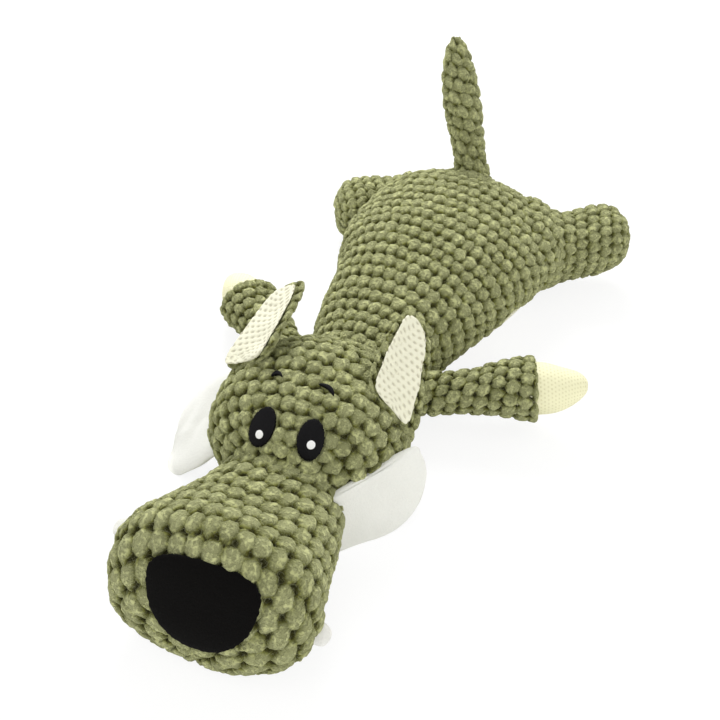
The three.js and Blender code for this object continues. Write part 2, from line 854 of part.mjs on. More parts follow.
function buildHead() {
  const headSkin = (offset) => solidOf(stuffedForm(head, headShares, offset));
  const snoutSkin = (offset) => solidOf(stuffedForm(snout, snoutShares, offset));
  const headCover = headSkin(0).subtract(headSkin(-coverWall)).subtract(snoutSkin(-coverWall));
  addPiece(headGroup, 'head_cover', 'bobblePlush', clearOfNeck(headCover));
  const snoutCover = snoutSkin(0)
    .subtract(belowFloor)
    .subtract(snoutSkin(-coverWall))
    .subtract(headSkin(seamGap));
  addPiece(headGroup, 'snout_cover', 'bobblePlush', snoutCover);
  const packed = -coverWall - seamGap;
  const filling = headSkin(packed).add(snoutSkin(packed));
  addPiece(headGroup, 'head_filling', 'fibreFill', clearOfNeck(filling));
}

buildHead();
addJoint('head_nod', toy, new THREE.Vector3(0, neck.y, neck.z), new THREE.Vector3(1, 0, 0), swings.neck);

// Layer of cloth that lies on a form, inside an upright outline that is turned to face out.
function clothPatch(form, shares, outline, place, near, far) {
  const shape = new THREE.Shape(outline.map(([x, y]) => new THREE.Vector2(x, y)));
  const prism = new THREE.ExtrudeGeometry(shape, { depth: 2 * cutOver, bevelEnabled: false });
  prism.translate(0, 0, -cutOver);
  prism.applyMatrix4(place);
  const layer = solidOf(stuffedForm(form, shares, far)).subtract(solidOf(stuffedForm(form, shares, near)));
  return layer.intersect(solidOf(prism));
}

// Frame of a patch: x to the dog's left, y up the face, z out of it.
function facePlace(x, y, z, tilt, lean = 0) {
  const place = new THREE.Object3D();
  place.position.set(x, y, z);
  place.rotation.order = 'ZXY';
  place.rotation.set(Math.PI / 2 - tilt, 0, 0);
  place.updateMatrix();
  return place.matrix.clone().multiply(new THREE.Matrix4().makeRotationZ(lean));
}

function ovalOutline(halfWidth, halfHeight, sides) {
  return Array.from({ length: sides }, (_, side) => {
    const angle = (2 * Math.PI * side) / sides;
    return [halfWidth * Math.cos(angle), halfHeight * Math.sin(angle)];
  });
}

// Rounded triangle, widest in its upper part.
function noseOutline() {
  return ovalOutline(1, 1, nose.sides).map(([x, y]) => {
    const rounded = (value) => Math.sign(value) * Math.abs(value) ** (2 / nose.squareness);
    const wide = rounded(x) * (1 + nose.narrowingShare * (y - nose.waistShare));
    return [wide * nose.halfWidth, (rounded(y) * nose.height) / 2];
  });
}

function buildFace() {
  const nosePlace = facePlace(nose.side, snout.start - snout.length * nose.alongShare, nose.z, nose.tilt);
  const noseTop = seamGap + nose.thickness;
  const nosePatch = clothPatch(snout, snoutShares, noseOutline(), nosePlace, seamGap, noseTop);
  addPiece(headGroup, 'nose_patch', 'blackVelour', nosePatch);
  for (const [side, word] of [[1, 'left'], [-1, 'right']]) {
    const eyePlace = facePlace(eye.side + side * eye.spread, -eye.forward, eye.z, eye.tilt, side * eye.lean);
    const snoutRoom = solidOf(stuffedForm(snout, snoutShares, seamGap));
    const eyeTop = seamGap + eye.thickness;
    const oval = ovalOutline(eye.halfWidth, eye.halfHeight, eye.sides);
    const patch = clothPatch(head, headShares, oval, eyePlace, seamGap, eyeTop).subtract(snoutRoom);
    addPiece(headGroup, `eye_${word}`, 'blackThread', patch);
    const round = ovalOutline(glint.radius, glint.radius, glint.sides);
    const dot = round.map(([x, y]) => [x + glint.side, y + glint.lift]);
    const dotNear = eyeTop + seamGap;
    const spot = clothPatch(head, headShares, dot, eyePlace, dotNear, dotNear + glint.thickness);
    addPiece(headGroup, `eye_glint_${word}`, 'whiteThread', spot);
    const browSide = eye.side + side * brow.spread;
    const browPlace = facePlace(browSide, -brow.forward, head.height, brow.tilt, -side * eye.lean);
    const stitch = clothPatch(head, headShares, browOutline(), browPlace, seamGap, seamGap + brow.thickness);
    addPiece(headGroup, `brow_${word}`, 'blackThread', stitch);
  }
}

// Shallow arc of thread.
function browOutline() {
  const radius = brow.arch;
  const reach = brow.length / 2 / radius;
  const arc = (r, sign) => Array.from({ length: brow.steps + 1 }, (_, step) => {
    const angle = sign * reach * ((2 * step) / brow.steps - 1);
    return [r * Math.sin(angle), r * Math.cos(angle) - radius];
  });
  return [...arc(radius - brow.width / 2, 1), ...arc(radius + brow.width / 2, -1)];
}

buildFace();

// Flap of cloth that stands along +Z from its root line on the X axis, its sides cupped
// towards +Y.
function flapBody({ length, halfWidth, rootDepth, cup = 0 }, widthShares, inset, nearAt, farAt) {
  const rows = widthShares.length;
  const grid = (thickAt) => Array.from({ length: rows + 1 }, (_, row) => {
    const s = row === 0 ? 0 : (row - 1) / (rows - 1);
    const reach = row === 0 ? -rootDepth : s * (length - inset);
    const half = widthShares[Math.max(row - 1, 0)] * halfWidth - inset;
    return Array.from({ length: flapColumns + 1 }, (_unused, column) => {
      const v = (2 * column) / flapColumns - 1;
      return new THREE.Vector3(v * half, thickAt(s, v) + cup * v * v * (1 - s / 2), reach);
    });
  });
  const [near, far] = [grid(nearAt), grid(farAt)];
  const rings = near.map((line, row) => [...line, ...[...far[row]].reverse()]);
  const centre = (ring) => ring.reduce((sum, p) => sum.add(p), new THREE.Vector3()).divideScalar(ring.length);
  return ringBody(centre(rings[0]), rings, centre(rings[rings.length - 1]));
}

// Frame of a flap: its root line along the skin, its length in the given direction, which
// may slant along the root.
function flapPlace(origin, rootLine, reach) {
  const x = rootLine.clone().normalize();
  const z = reach.clone().normalize();
  const y = new THREE.Vector3().crossVectors(z, x).normalize();
  return new THREE.Matrix4().makeBasis(x, y, z).setPosition(origin);
}

function buildEars() {
  const t = placeAlong(headShares, (ear.forward + head.start) / head.length);
  for (const [side, word] of [[1, 'left'], [-1, 'right']]) {
    const [rise, lean] = side > 0 ? [ear.riseLeft, ear.leanLeft] : [ear.riseRight, ear.leanRight];
    const around = side > 0 ? ear.aroundLeft : Math.PI - ear.aroundRight;
    const normal = skinNormal(head, headShares, t, around);
    const root = skinPoint(head, headShares, t, around);
    const rootLine = skinPoint(head, headShares, t, around + side * tinyStep).sub(root).normalize();
    const reach = new THREE.Vector3(-side * Math.tan(lean), Math.cos(rise), Math.sin(rise));
    const thickness = ear.backThickness + seamGap + meshWall;
    const pivot = root.clone().addScaledVector(normal, thickness / 2);
    const place = flapPlace(pivot, rootLine.clone().multiplyScalar(side), reach);
    const axis = rootLine.clone().multiplyScalar(-side);
    const keepOut = stuffedForm(head, headShares, seamGap);
    const flap = { length: ear.length, halfWidth: ear.baseHalfWidth, rootDepth: ear.rootDepth, cup: ear.cup };
    const layer = (inset, near, far) => {
      const body = flapBody(flap, earWidthShares, inset, () => near, () => far).applyMatrix4(place);
      return cutForSwing(solidOf(body), keepOut, pivot, axis, swings.ear, wideSwingSteps);
    };
    const middle = thickness / 2;
    const back = layer(0, -middle, ear.backThickness - middle);
    const lining = layer(ear.liningInset, middle - meshWall, middle);
    addPiece(headGroup, `ear_back_${word}`, 'bobblePlush', back);
    addPiece(headGroup, `ear_lining_${word}`, 'creamMesh', lining);
    addJoint(`ear_${word}_fold`, headGroup, pivot, axis, swings.ear);
  }
}

buildEars();

// Flap that hangs from the side of a form, its root along the form's length.
function sideFlap(form, shares, flap, side, { hang, slant = 0, dip = 0 }) {
  const reached = side > 0 ? flap.forwardLeft : flap.forwardRight;
  const t = placeAlong(shares, (reached + form.start) / form.length);
  const around = side > 0 ? flap.aroundLeft : Math.PI - flap.aroundRight;
  const normal = skinNormal(form, shares, t, around);
  const root = skinPoint(form, shares, t, around);
  const rootLine = skinAlong(form, shares, t, around).setZ(0).normalize();
  const outward = new THREE.Vector3().crossVectors(rootLine, new THREE.Vector3(0, 0, side)).negate();
  const down = new THREE.Vector3(0, 0, -1).applyAxisAngle(outward, side * dip);
  rootLine.applyAxisAngle(outward, side * dip);
  const reach = outward.multiplyScalar(Math.cos(hang)).addScaledVector(down, Math.sin(hang));
  reach.addScaledVector(rootLine, Math.tan(slant));
  const pivot = root.addScaledVector(normal, flap.rim / 2 + seamGap);
  const axis = rootLine.multiplyScalar(-side);
  return { pivot, axis, place: flapPlace(pivot, axis, reach) };
}

// Both faces of a padded flap, fullest at the root.
function pillow(flap) {
  const half = (s, v) => flap.rim / 2 + (flap.crown / 2) * (1 - v * v) * (1 - s * s);
  return [(s, v) => -half(s, v), half];
}

function buildRuffsAndTeeth() {
  const headSkin = solidOf(stuffedForm(head, headShares, seamGap));
  const snoutSkin = stuffedForm(snout, snoutShares, seamGap);
  const keepOut = geometryOf(headSkin.add(solidOf(snoutSkin)));
  for (const [side, word] of [[1, 'left'], [-1, 'right']]) {
    const lie = side > 0
      ? { halfWidth: ruff.halfWidthLeft, hang: ruff.hangLeft, slant: ruff.slantLeft, dip: ruff.dipLeft }
      : { halfWidth: ruff.halfWidthRight, hang: ruff.hangRight, slant: ruff.slantRight, dip: ruff.dipRight };
    const cheek = sideFlap(head, headShares, ruff, side, lie);
    const flap = { ...ruff, halfWidth: lie.halfWidth };
    const fleece = flapBody(flap, ruffWidthShares, 0, ...pillow(flap)).applyMatrix4(cheek.place);
    const cut = cutForSwing(solidOf(fleece), keepOut, cheek.pivot, cheek.axis, swings.ruff, wideSwingSteps);
    addPiece(headGroup, `cheek_ruff_${word}`, 'whiteFleece', cut.subtract(belowFloor));
    addJoint(`cheek_ruff_${word}_flap`, headGroup, cheek.pivot, cheek.axis, swings.ruff);
    const toothHang = side > 0 ? tooth.hangLeft : tooth.hangRight;
    const mouth = sideFlap(snout, snoutShares, tooth, side, { hang: toothHang });
    const felt = flapBody(tooth, toothWidthShares, 0, ...pillow(tooth)).applyMatrix4(mouth.place);
    addPiece(headGroup, `tooth_${word}`, 'whiteFelt', solidOf(felt).subtract(solidOf(snoutSkin)));
  }
}

buildRuffsAndTeeth();

export default toy;
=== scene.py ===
"""Dresses the stuffed plush dog toy: popcorn plush, mesh cloth, fleece, felt, velour and stitching.

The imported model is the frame. Lengths are metres in its frame: Z up, nose towards -Y, the dog's
left side at +X. Sizes are written in millimetres and carry the factor MM.
"""

import json
import logging
import math
from dataclasses import dataclass, field, replace
from enum import Enum
from itertools import product
from typing import Callable, NamedTuple, Optional, Sequence, Union

import bpy
import numpy as np
from mathutils import Matrix, Vector

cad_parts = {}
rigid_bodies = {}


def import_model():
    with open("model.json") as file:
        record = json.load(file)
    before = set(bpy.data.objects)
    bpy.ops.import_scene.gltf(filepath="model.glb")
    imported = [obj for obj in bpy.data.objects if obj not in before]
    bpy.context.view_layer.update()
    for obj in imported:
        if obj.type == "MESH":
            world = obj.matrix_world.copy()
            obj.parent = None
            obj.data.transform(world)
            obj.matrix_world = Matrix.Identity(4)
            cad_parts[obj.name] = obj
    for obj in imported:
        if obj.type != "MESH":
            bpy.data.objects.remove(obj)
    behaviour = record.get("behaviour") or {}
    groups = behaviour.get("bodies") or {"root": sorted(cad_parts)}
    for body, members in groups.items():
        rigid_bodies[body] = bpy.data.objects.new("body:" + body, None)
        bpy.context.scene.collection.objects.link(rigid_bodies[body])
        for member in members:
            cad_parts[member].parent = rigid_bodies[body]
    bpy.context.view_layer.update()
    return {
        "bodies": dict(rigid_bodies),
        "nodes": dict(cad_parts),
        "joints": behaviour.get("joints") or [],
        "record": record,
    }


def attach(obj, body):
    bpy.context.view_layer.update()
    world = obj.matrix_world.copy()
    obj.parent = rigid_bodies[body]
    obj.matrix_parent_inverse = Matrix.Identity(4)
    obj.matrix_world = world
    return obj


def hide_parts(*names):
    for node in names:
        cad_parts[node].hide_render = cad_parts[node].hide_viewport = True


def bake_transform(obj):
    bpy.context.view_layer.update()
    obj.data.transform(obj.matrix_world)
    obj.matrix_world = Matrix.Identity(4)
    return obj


MM = 0.001
DEGREE = math.pi / 180
LOG = logging.getLogger("plush_dog")
# Length that keeps a division from failing
TINY = 1e-4
# How many samples of a form are taken: to measure lengths along it, and to read its profile
FINE_STEPS, STEPS = 4001, 801
# The seam along a cover's underside: its width, its depth, and the relief from which it sinks
SEAM_WIDTH, SEAM_DEPTH, DEEP_RELIEF = 2.4 * MM, 1.2 * MM, 1.0 * MM

Array = np.ndarray
Row = tuple[float, float, float, float]


class Side(Enum):
    """Side of the dog; the value is the sign of X on it."""

    LEFT = 1
    RIGHT = -1

    @property
    def word(self) -> str:
        """The side's name in the names of pieces and bodies."""
        return self.name.lower()


class Slot(Enum):
    """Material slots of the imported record."""

    PLUSH = "bobble_plush"
    MESH = "cream_mesh"
    FLEECE = "white_fleece"
    FELT = "white_felt"
    VELOUR = "black_velour"
    BLACK_THREAD = "black_thread"
    WHITE_THREAD = "white_thread"
    FILL = "fibre_fill"
    PLASTIC = "squeaker_plastic"


# --- Small mathematics on whole arrays ---


def smooth_step(low: float, high: float, value: Array) -> Array:
    """Rises from 0 at low to 1 at high as 3x^2 - 2x^3 of the share in between."""
    share = np.clip((value - low) / (high - low), 0.0, 1.0)
    return share * share * (3.0 - 2.0 * share)


def signed_power(value: Array, power: float) -> Array:
    """The sign of value times its size raised to power."""
    return np.sign(value) * np.abs(value) ** power


def lattice_noise(i: Array, k: Array, seed: int) -> Array:
    """Random number from -1 to 1 for each place (i, k) of a lattice.

    It is the fraction of a large multiple of the sine of a weighted sum of i, k and seed.
    """
    wave = np.sin(i * 12.9898 + k * 78.233 + seed * 37.719) * 43758.5453
    return 2.0 * (wave - np.floor(wave)) - 1.0


def ripple(points: Array, wavelength: float, seed: int, waves: int = 9) -> Array:
    """Slow unevenness in space, from about -1 to 1.

    It is the sum of sine waves of one wavelength in seeded directions, over the root of
    their number.

    Args:
        points: points in space.
        wavelength: length of every wave.
        seed: seed of the directions and phases.
        waves: how many waves are summed.

    Returns:
        The unevenness at each point.
    """
    rng = np.random.default_rng(seed)
    directions = rng.normal(size=(waves, 3))
    directions /= np.linalg.norm(directions, axis=1, keepdims=True)
    phases = rng.uniform(0.0, 2.0 * np.pi, waves)
    angles = points @ (directions.T * 2.0 * np.pi / wavelength) + phases
    return np.sin(angles).sum(-1) / math.sqrt(waves)


def unit(vectors: Array) -> Array:
    """The vectors at length 1; a vector of no length stays as it is."""
    length = np.linalg.norm(vectors, axis=-1, keepdims=True)
    return vectors / np.maximum(length, 1e-12)


def transformed(matrix: Matrix, points: Array) -> Array:
    """Points moved by a 4x4 matrix."""
    m = np.array(matrix)
    return points @ m[:3, :3].T + m[:3, 3]


# --- Forms: stuffed and sewn shapes given by rows of shares ---


@dataclass(frozen=True)
class Form:
    """Stuffed form along the Y axis of its own frame, given by rows of shares.

    Attributes:
        length, half_width, height: what the shares are shares of.
        start: Y of the first row.
        direction: 1 if the rows run towards +Y, -1 towards -Y.
        sink: how far the whole form is lowered, so that the floor flattens it.
        mid_share: height of the widest line, as a share from the underside to the top.
        squareness: exponent of the superellipse that each cross section is.
        shares: rows of along, half width, top and underside.
    """

    length: float
    half_width: float
    height: float
    start: float
    shares: tuple[Row, ...]
    direction: int = 1
    sink: float = 0.0
    mid_share: float = 0.5
    squareness: float = 2.0

    @property
    def last(self) -> int:
        """Place of the last row."""
        return len(self.shares) - 1

    def rows(self, t: Array) -> Array:
        """Shares at places t, by a Catmull-Rom spline through the rows.

        Past either end the rows are mirrored over the axis, so that a form closes roundly.

        Args:
            t: places, from 0 to the number of the last row.

        Returns:
            Along, half width, top and underside, as shares.
        """
        table = np.array(self.shares)
        over = np.array([1.0, -1.0, 1.0, 1.0])
        before, after = (table[index][[0, 1, 3, 2]] * over for index in (1, -2))
        table = np.vstack([before, table, after])
        k = np.minimum(np.floor(t).astype(int), self.last - 1)
        f = (t - k)[..., None]
        p, q, r, s = (table[k + step] for step in range(4))
        bend = 2 * p - 5 * q + 4 * r - s
        twist = 3 * q - p - 3 * r + s
        return (2 * q + (r - p) * f + bend * f**2 + twist * f**3) / 2

    def profile(self, t: Array) -> tuple[Array, Array, Array, Array]:
        """Y, half width, top and underside at places t.

        Args:
            t: places along the rows.

        Returns:
            The four, as lengths.
        """
        sizes = np.array([self.direction * self.length, self.half_width, self.height, self.height])
        y, width, top, under = np.moveaxis(self.rows(t) * sizes, -1, 0)
        return self.start + y, np.maximum(width, 0.0), top - self.sink, under - self.sink

    def skin(self, t: Array, angle: Array) -> Array:
        """Points of the skin at places t and angles round it, from +X towards +Z.

        X is the half width times cos^(2/n), Z rises from the widest line by sin^(2/n) of the
        way to the top or the underside, where n is the squareness.

        Args:
            t: places along the rows.
            angle: angles round the form.

        Returns:
            The points.
        """
        t, angle = np.broadcast_arrays(t, angle)
        y, width, top, under = self.profile(t)
        middle = under + (top - under) * self.mid_share
        power = 2.0 / self.squareness
        rise = np.where(np.sin(angle) > 0, top - middle, middle - under)
        x = width * signed_power(np.cos(angle), power)
        z = middle + rise * signed_power(np.sin(angle), power)
        return np.stack([x, y, z], -1)

    def place_along(self, share: float) -> float:
        """Place where the form has reached a share of its length."""
        t = np.linspace(0.0, self.last, FINE_STEPS)
        return float(np.interp(share, self.rows(t)[:, 0], t))

    def even_places(self, spacing: float) -> Array:
        """Places between the two ends at even steps of about spacing along the skin.

        Args:
            spacing: wanted length from place to place.

        Returns:
            The places.
        """
        t = np.linspace(0.0, self.last, FINE_STEPS)
        y, width, top, under = self.profile(t)
        radius = (width + (top - under) / 2) / 2
        run = np.concatenate([[0.0], np.cumsum(np.hypot(np.diff(y), np.diff(radius)))])
        count = max(int(run[-1] / spacing), 8)
        steps = (np.arange(count) + 0.5) / count * run[-1]
        return np.interp(steps, run, t)

    def girth(self) -> float:
        """Largest length round the form."""
        t = np.linspace(0.0, self.last, 61)[:, None]
        angle = np.linspace(0.0, 2.0 * np.pi, 121)
        ring = self.skin(t, angle)
        return float(np.linalg.norm(np.diff(ring, axis=1), axis=-1).sum(1).max())

    def depth(self, points: Array) -> Array:
        """Rough distance of points outside the skin, negative inside.

        At a point's Y the superellipse norm of its X and Z tells how many radii it lies from
        the middle; past the ends the distance along Y is joined to it.

        Args:
            points: points in the form's frame.

        Returns:
            The distance of each.
        """
        t = np.linspace(0.0, self.last, STEPS)
        y, width, top, under = self.profile(t)
        order = np.argsort(y)
        y, width, top, under = (value[order] for value in (y, width, top, under))
        at = np.clip(points[..., 1], y[0], y[-1])
        w, high, low = (np.interp(at, y, value) for value in (width, top, under))
        middle = low + (high - low) * self.mid_share
        x, z = np.abs(points[..., 0]), points[..., 2] - middle
        rise = np.where(z > 0, high - middle, middle - low)
        n = self.squareness
        floor = 0.2 * MM
        wide, tall = x / np.maximum(w, floor), np.abs(z) / np.maximum(rise, floor)
        norm = (wide**n + tall**n) ** (1 / n)
        reach = np.hypot(x, z)
        side = reach - reach / np.maximum(norm, 1e-9)
        past = np.abs(points[..., 1] - at)
        return np.where(past > 0, np.hypot(np.maximum(side, 0.0), past), side)

    def outward(self, points: Array) -> Array:
        """Outward directions at points near the skin, from the slope of the depth.

        Args:
            points: points in the form's frame.

        Returns:
            Unit directions.
        """
        step = 0.2 * MM
        slope = [
            self.depth(points + step * axis) - self.depth(points - step * axis)
            for axis in np.eye(3)
        ]
        return unit(np.stack(slope, -1))


# --- Cloth reliefs: what the surface does between one stitch and the next ---


class Place(NamedTuple):
    """Where the points of a closed ring grid lie on its cloth.

    Attributes:
        points: the points in space.
        u: length round each ring from the top line, positive on one side.
        v: length along each column from the ring of the largest girth.
        girth: length round each ring, as a column.
    """

    points: Array
    u: Array
    v: Array
    girth: Array


class Texture(NamedTuple):
    """Relief of a cloth at each point of a grid.

    Attributes:
        lift: height above the skin.
        crevice: painted shade, 0 on top of the cloth, 1 in its creases or holes.
        shade: brightness of each bump, from -1 to 1.
        lean_u, lean_v: sideways shift round and along the form.
    """

    lift: Array
    crevice: Array = np.zeros(())
    shade: Array = np.zeros(())
    lean_u: Array = np.zeros(())
    lean_v: Array = np.zeros(())


@dataclass(frozen=True)
class Popcorn:
    """Popcorn plush: rows of velvety bumps round a form, each row shifted by half a bump.

    Attributes:
        pitch: from bump to bump in a row.
        row: from row to row.
        height: from the deepest crease to the top of a bump.
        top: how far the tops stand off the form's skin.
        climb: how many rows the cloth climbs in one turn round the form.
        facing: 1 or -1, the way along the form that the holes lie on from each row.
        unevenness: share of the pitch by which bumps are out of place.
        band: share by which the pitch may change before a row takes another number of bumps.
        shadow: strength of the painted shade in the cloth's creases and holes, 1 for the full ramp;
            less paints the piece lighter.
        seed: seed of the unevenness.
        wide, tall: half sizes of a bump, as shares of the pitch and the row.
        flatness: exponent of the dome, more for a flatter top.
        lean: how much higher the one side of a bump is.
        turn, growth, swelling: how much bumps differ in their turn, width and height.
        puff: how far points half way out on a bump are pushed outwards.
        hole, hole_place: size of the hole between two bumps and its distance from their row,
            as shares of the pitch and the row.
        carve: depth of the hole, as a share of the height.
        roughness: heights and wavelengths of the waves that roughen the outlines.
        wrinkle: height and wavelength of the waves on the bumps.
    """

    pitch: float = 8.2 * MM
    row: float = 9.6 * MM
    height: float = 3.9 * MM
    top: float = 1.1 * MM
    climb: float = 0.0
    facing: int = 1
    unevenness: float = 0.06
    band: float = 0.13
    shadow: float = 1.0
    seed: int = 1
    wide: float = 0.63
    tall: float = 0.6
    flatness: float = 2.6
    lean: float = 0.22
    turn: float = 0.22
    growth: float = 0.05
    swelling: float = 0.12
    puff: float = 0.5 * MM
    hole: float = 0.2
    hole_place: float = 0.44
    carve: float = 0.45
    roughness: tuple = ((0.4 * MM, 5.2 * MM), (0.26 * MM, 2.7 * MM))
    wrinkle: tuple[float, float] = (0.22 * MM, 3.0 * MM)

    def row_count(self, k: Array, place: Place) -> Array:
        """Number of bumps in row k: its girth over the pitch, in steps of the band's share.

        Args:
            k: numbers of the rows.
            place: where the cloth's points lie.

        Returns:
            The number of bumps in each.
        """
        along, girth = place.v.mean(1), place.girth[:, 0]
        ratio = np.maximum(np.interp(k * self.row, along, girth) / self.pitch, 1.0)
        return np.maximum(np.round(np.exp(np.round(np.log(ratio) / self.band) * self.band)), 1.0)

    def texture(self, place: Place) -> Texture:
        """Relief at the places of a grid.

        Each of the nine nearest bumps is a dome (1 - r^flatness)^0.5 of the elliptic distance
        r from its own middle, higher on one side, and the highest one counts. So the bumps of
        one row overlap like scales and stand deeper apart from the next row, and a round hole
        lies between each two of them. Slow and quick waves in space shift the places first,
        which roughens every outline. Points half way out on a bump are pushed outwards, which
        gives it steep sides.

        Args:
            place: where the cloth's points lie.

        Returns:
            The relief.
        """
        share = place.u / place.girth
        v = place.v + self.climb * self.row * share
        rough_u, rough_v = (
            sum(
                height * ripple(place.points, length, self.seed * 7 + first + n)
                for n, (height, length) in enumerate(self.roughness)
            )
            for first in (0, 2)
        )
        k0 = np.round(v / self.row)
        found = np.zeros((4, *share.shape))
        found[0] = -1.0
        hole = np.zeros(share.shape)
        for dk, di in product((-1, 0, 1), repeat=2):
            k = k0 + dk
            count = self.row_count(k, place)
            pitch = place.girth / count
            shift = 0.5 * np.mod(k, 2.0)
            i = np.round(share * count - shift) + di
            noise = [lattice_noise(np.mod(i, count), k, self.seed * 17 + n) for n in range(5)]
            du = (share * count - i - shift - self.unevenness * noise[0]) * pitch + rough_u
            dv = v - (k + self.unevenness * noise[1]) * self.row + rough_v
            turn = self.turn * noise[2]
            du, dv = du + turn * dv, dv - turn * du
            wide = self.wide * pitch * (1.0 + self.growth * noise[3])
            r = np.hypot(du / wide, dv / (self.tall * self.row))
            size = 1.0 + self.swelling * noise[4] + self.lean * du / wide
            dome = (1.0 - np.minimum(r, 1.0) ** self.flatness) ** 0.5 * size
            apart = np.hypot(du - 0.5 * pitch, dv - self.hole_place * self.facing * self.row)
            hole = np.maximum(hole, np.exp(-((apart / (self.hole * self.pitch)) ** 2)))
            puff = self.puff * np.sin(np.pi * np.minimum(r, 1.0)) / np.maximum(r, 0.2)
            lean_u, lean_v = puff * du / np.maximum(wide, MM), puff * dv / self.row * 1.6
            found = np.where(dome > found[0], np.stack([dome, noise[3], lean_u, lean_v]), found)
        best, *rest = found
        wrinkle = self.wrinkle[0] * ripple(place.points, self.wrinkle[1], self.seed + 90)
        dent = np.maximum(best - self.carve * hole, 0.0) - 1.0
        # Painted shade: the colour darkens in the creases between bumps and in the holes, scaled by
        # shadow.
        crevice = self.shadow * np.clip(1.05 * (1.0 - best) + 0.9 * hole, 0.0, 1.0)
        return Texture(self.top + self.height * dent + wrinkle, crevice, *rest)


@dataclass(frozen=True)
class HoledMesh:
    """Knitted mesh: rows of soft oval holes, each row shifted by half a hole.

    Attributes:
        pitch: from hole to hole in a row.
        row: from row to row.
        wide, tall: half sizes of a hole.
        depth: depth of a hole.
    """

    pitch: float = 4.5 * MM
    row: float = 3.9 * MM
    wide: float = 1.55 * MM
    tall: float = 1.0 * MM
    depth: float = 0.55 * MM

    def texture(self, place: Place) -> Texture:
        """Relief at the places of a grid: a smooth oval pit at each place of the lattice.

        Args:
            place: where the cloth's points lie.

        Returns:
            The relief.
        """
        k = np.round(place.v / self.row)
        shift = 0.5 * np.mod(k, 2.0)
        i = np.round(place.u / self.pitch - shift)
        du, dv = place.u - (i + shift) * self.pitch, place.v - k * self.row
        hole = 1.0 - smooth_step(0.45, 1.25, np.hypot(du / self.wide, dv / self.tall))
        # The hole mask is also the painted shade that darkens the holes.
        return Texture(-self.depth * hole, hole)


@dataclass(frozen=True)
class Plain:
    """Smooth cloth with slow waves, such as fleece or felt.

    Attributes:
        wave: height of the waves.
        wavelength: their length.
        seed: seed of their directions.
    """

    wave: float = 0.0
    wavelength: float = 30 * MM
    seed: int = 3

    def texture(self, place: Place) -> Texture:
        """Relief at the places of a grid."""
        flat = np.stack([place.u, place.v, np.zeros(place.u.shape)], -1)
        return Texture(self.wave * ripple(flat, self.wavelength, self.seed))


Cloth = Union[Popcorn, HoledMesh, Plain]

# --- Finishes ---


def linear(hex_colour: str) -> tuple[float, float, float, float]:
    """An sRGB hex colour as linear red, green, blue and alpha.

    Args:
        hex_colour: the colour, such as #A8AA7A.

    Returns:
        The linear colour.
    """
    parts = [int(hex_colour[n : n + 2], 16) / 255 for n in (1, 3, 5)]
    flat = [c / 12.92 if c <= 0.04045 else ((c + 0.055) / 1.055) ** 2.4 for c in parts]
    return (*flat, 1.0)


def empty_tree(owner: bpy.types.ID) -> bpy.types.NodeTree:
    """The node tree of a material or world, emptied.

    Args:
        owner: the material or world.

    Returns:
        Its node tree.
    """
    owner.use_nodes = True
    owner.node_tree.nodes.clear()
    return owner.node_tree


def add_node(
    tree: bpy.types.NodeTree,
    kind: str,
    inputs: Optional[dict] = None,
    stops: Sequence[tuple[float, str]] = (),
    **settings: object,
) -> bpy.types.Node:
    """Adds a node with its settings and links.

    Args:
        tree: node tree of the material or world.
        kind: Blender's name of the node, without "ShaderNode".
        inputs: values, sockets or nodes, for their first output, by the input's name or number.
        stops: places and hex colours of a colour ramp.
        settings: the node's own settings.

    Returns:
        The node.
    """
    node = tree.nodes.new(f"ShaderNode{kind}")
    for key, value in settings.items():
        setattr(node, key, value)
    for key, value in (inputs or {}).items():
        value = value.outputs[0] if isinstance(value, bpy.types.Node) else value
        if isinstance(value, bpy.types.NodeSocket):
            tree.links.new(value, node.inputs[key])
        else:
            node.inputs[key].default_value = value
    if stops:
        elements = node.color_ramp.elements
        while len(elements) < len(stops):
            elements.new(1.0)
        for element, (place, colour) in zip(elements, stops):
            element.position = place
            element.color = linear(colour)
    return node


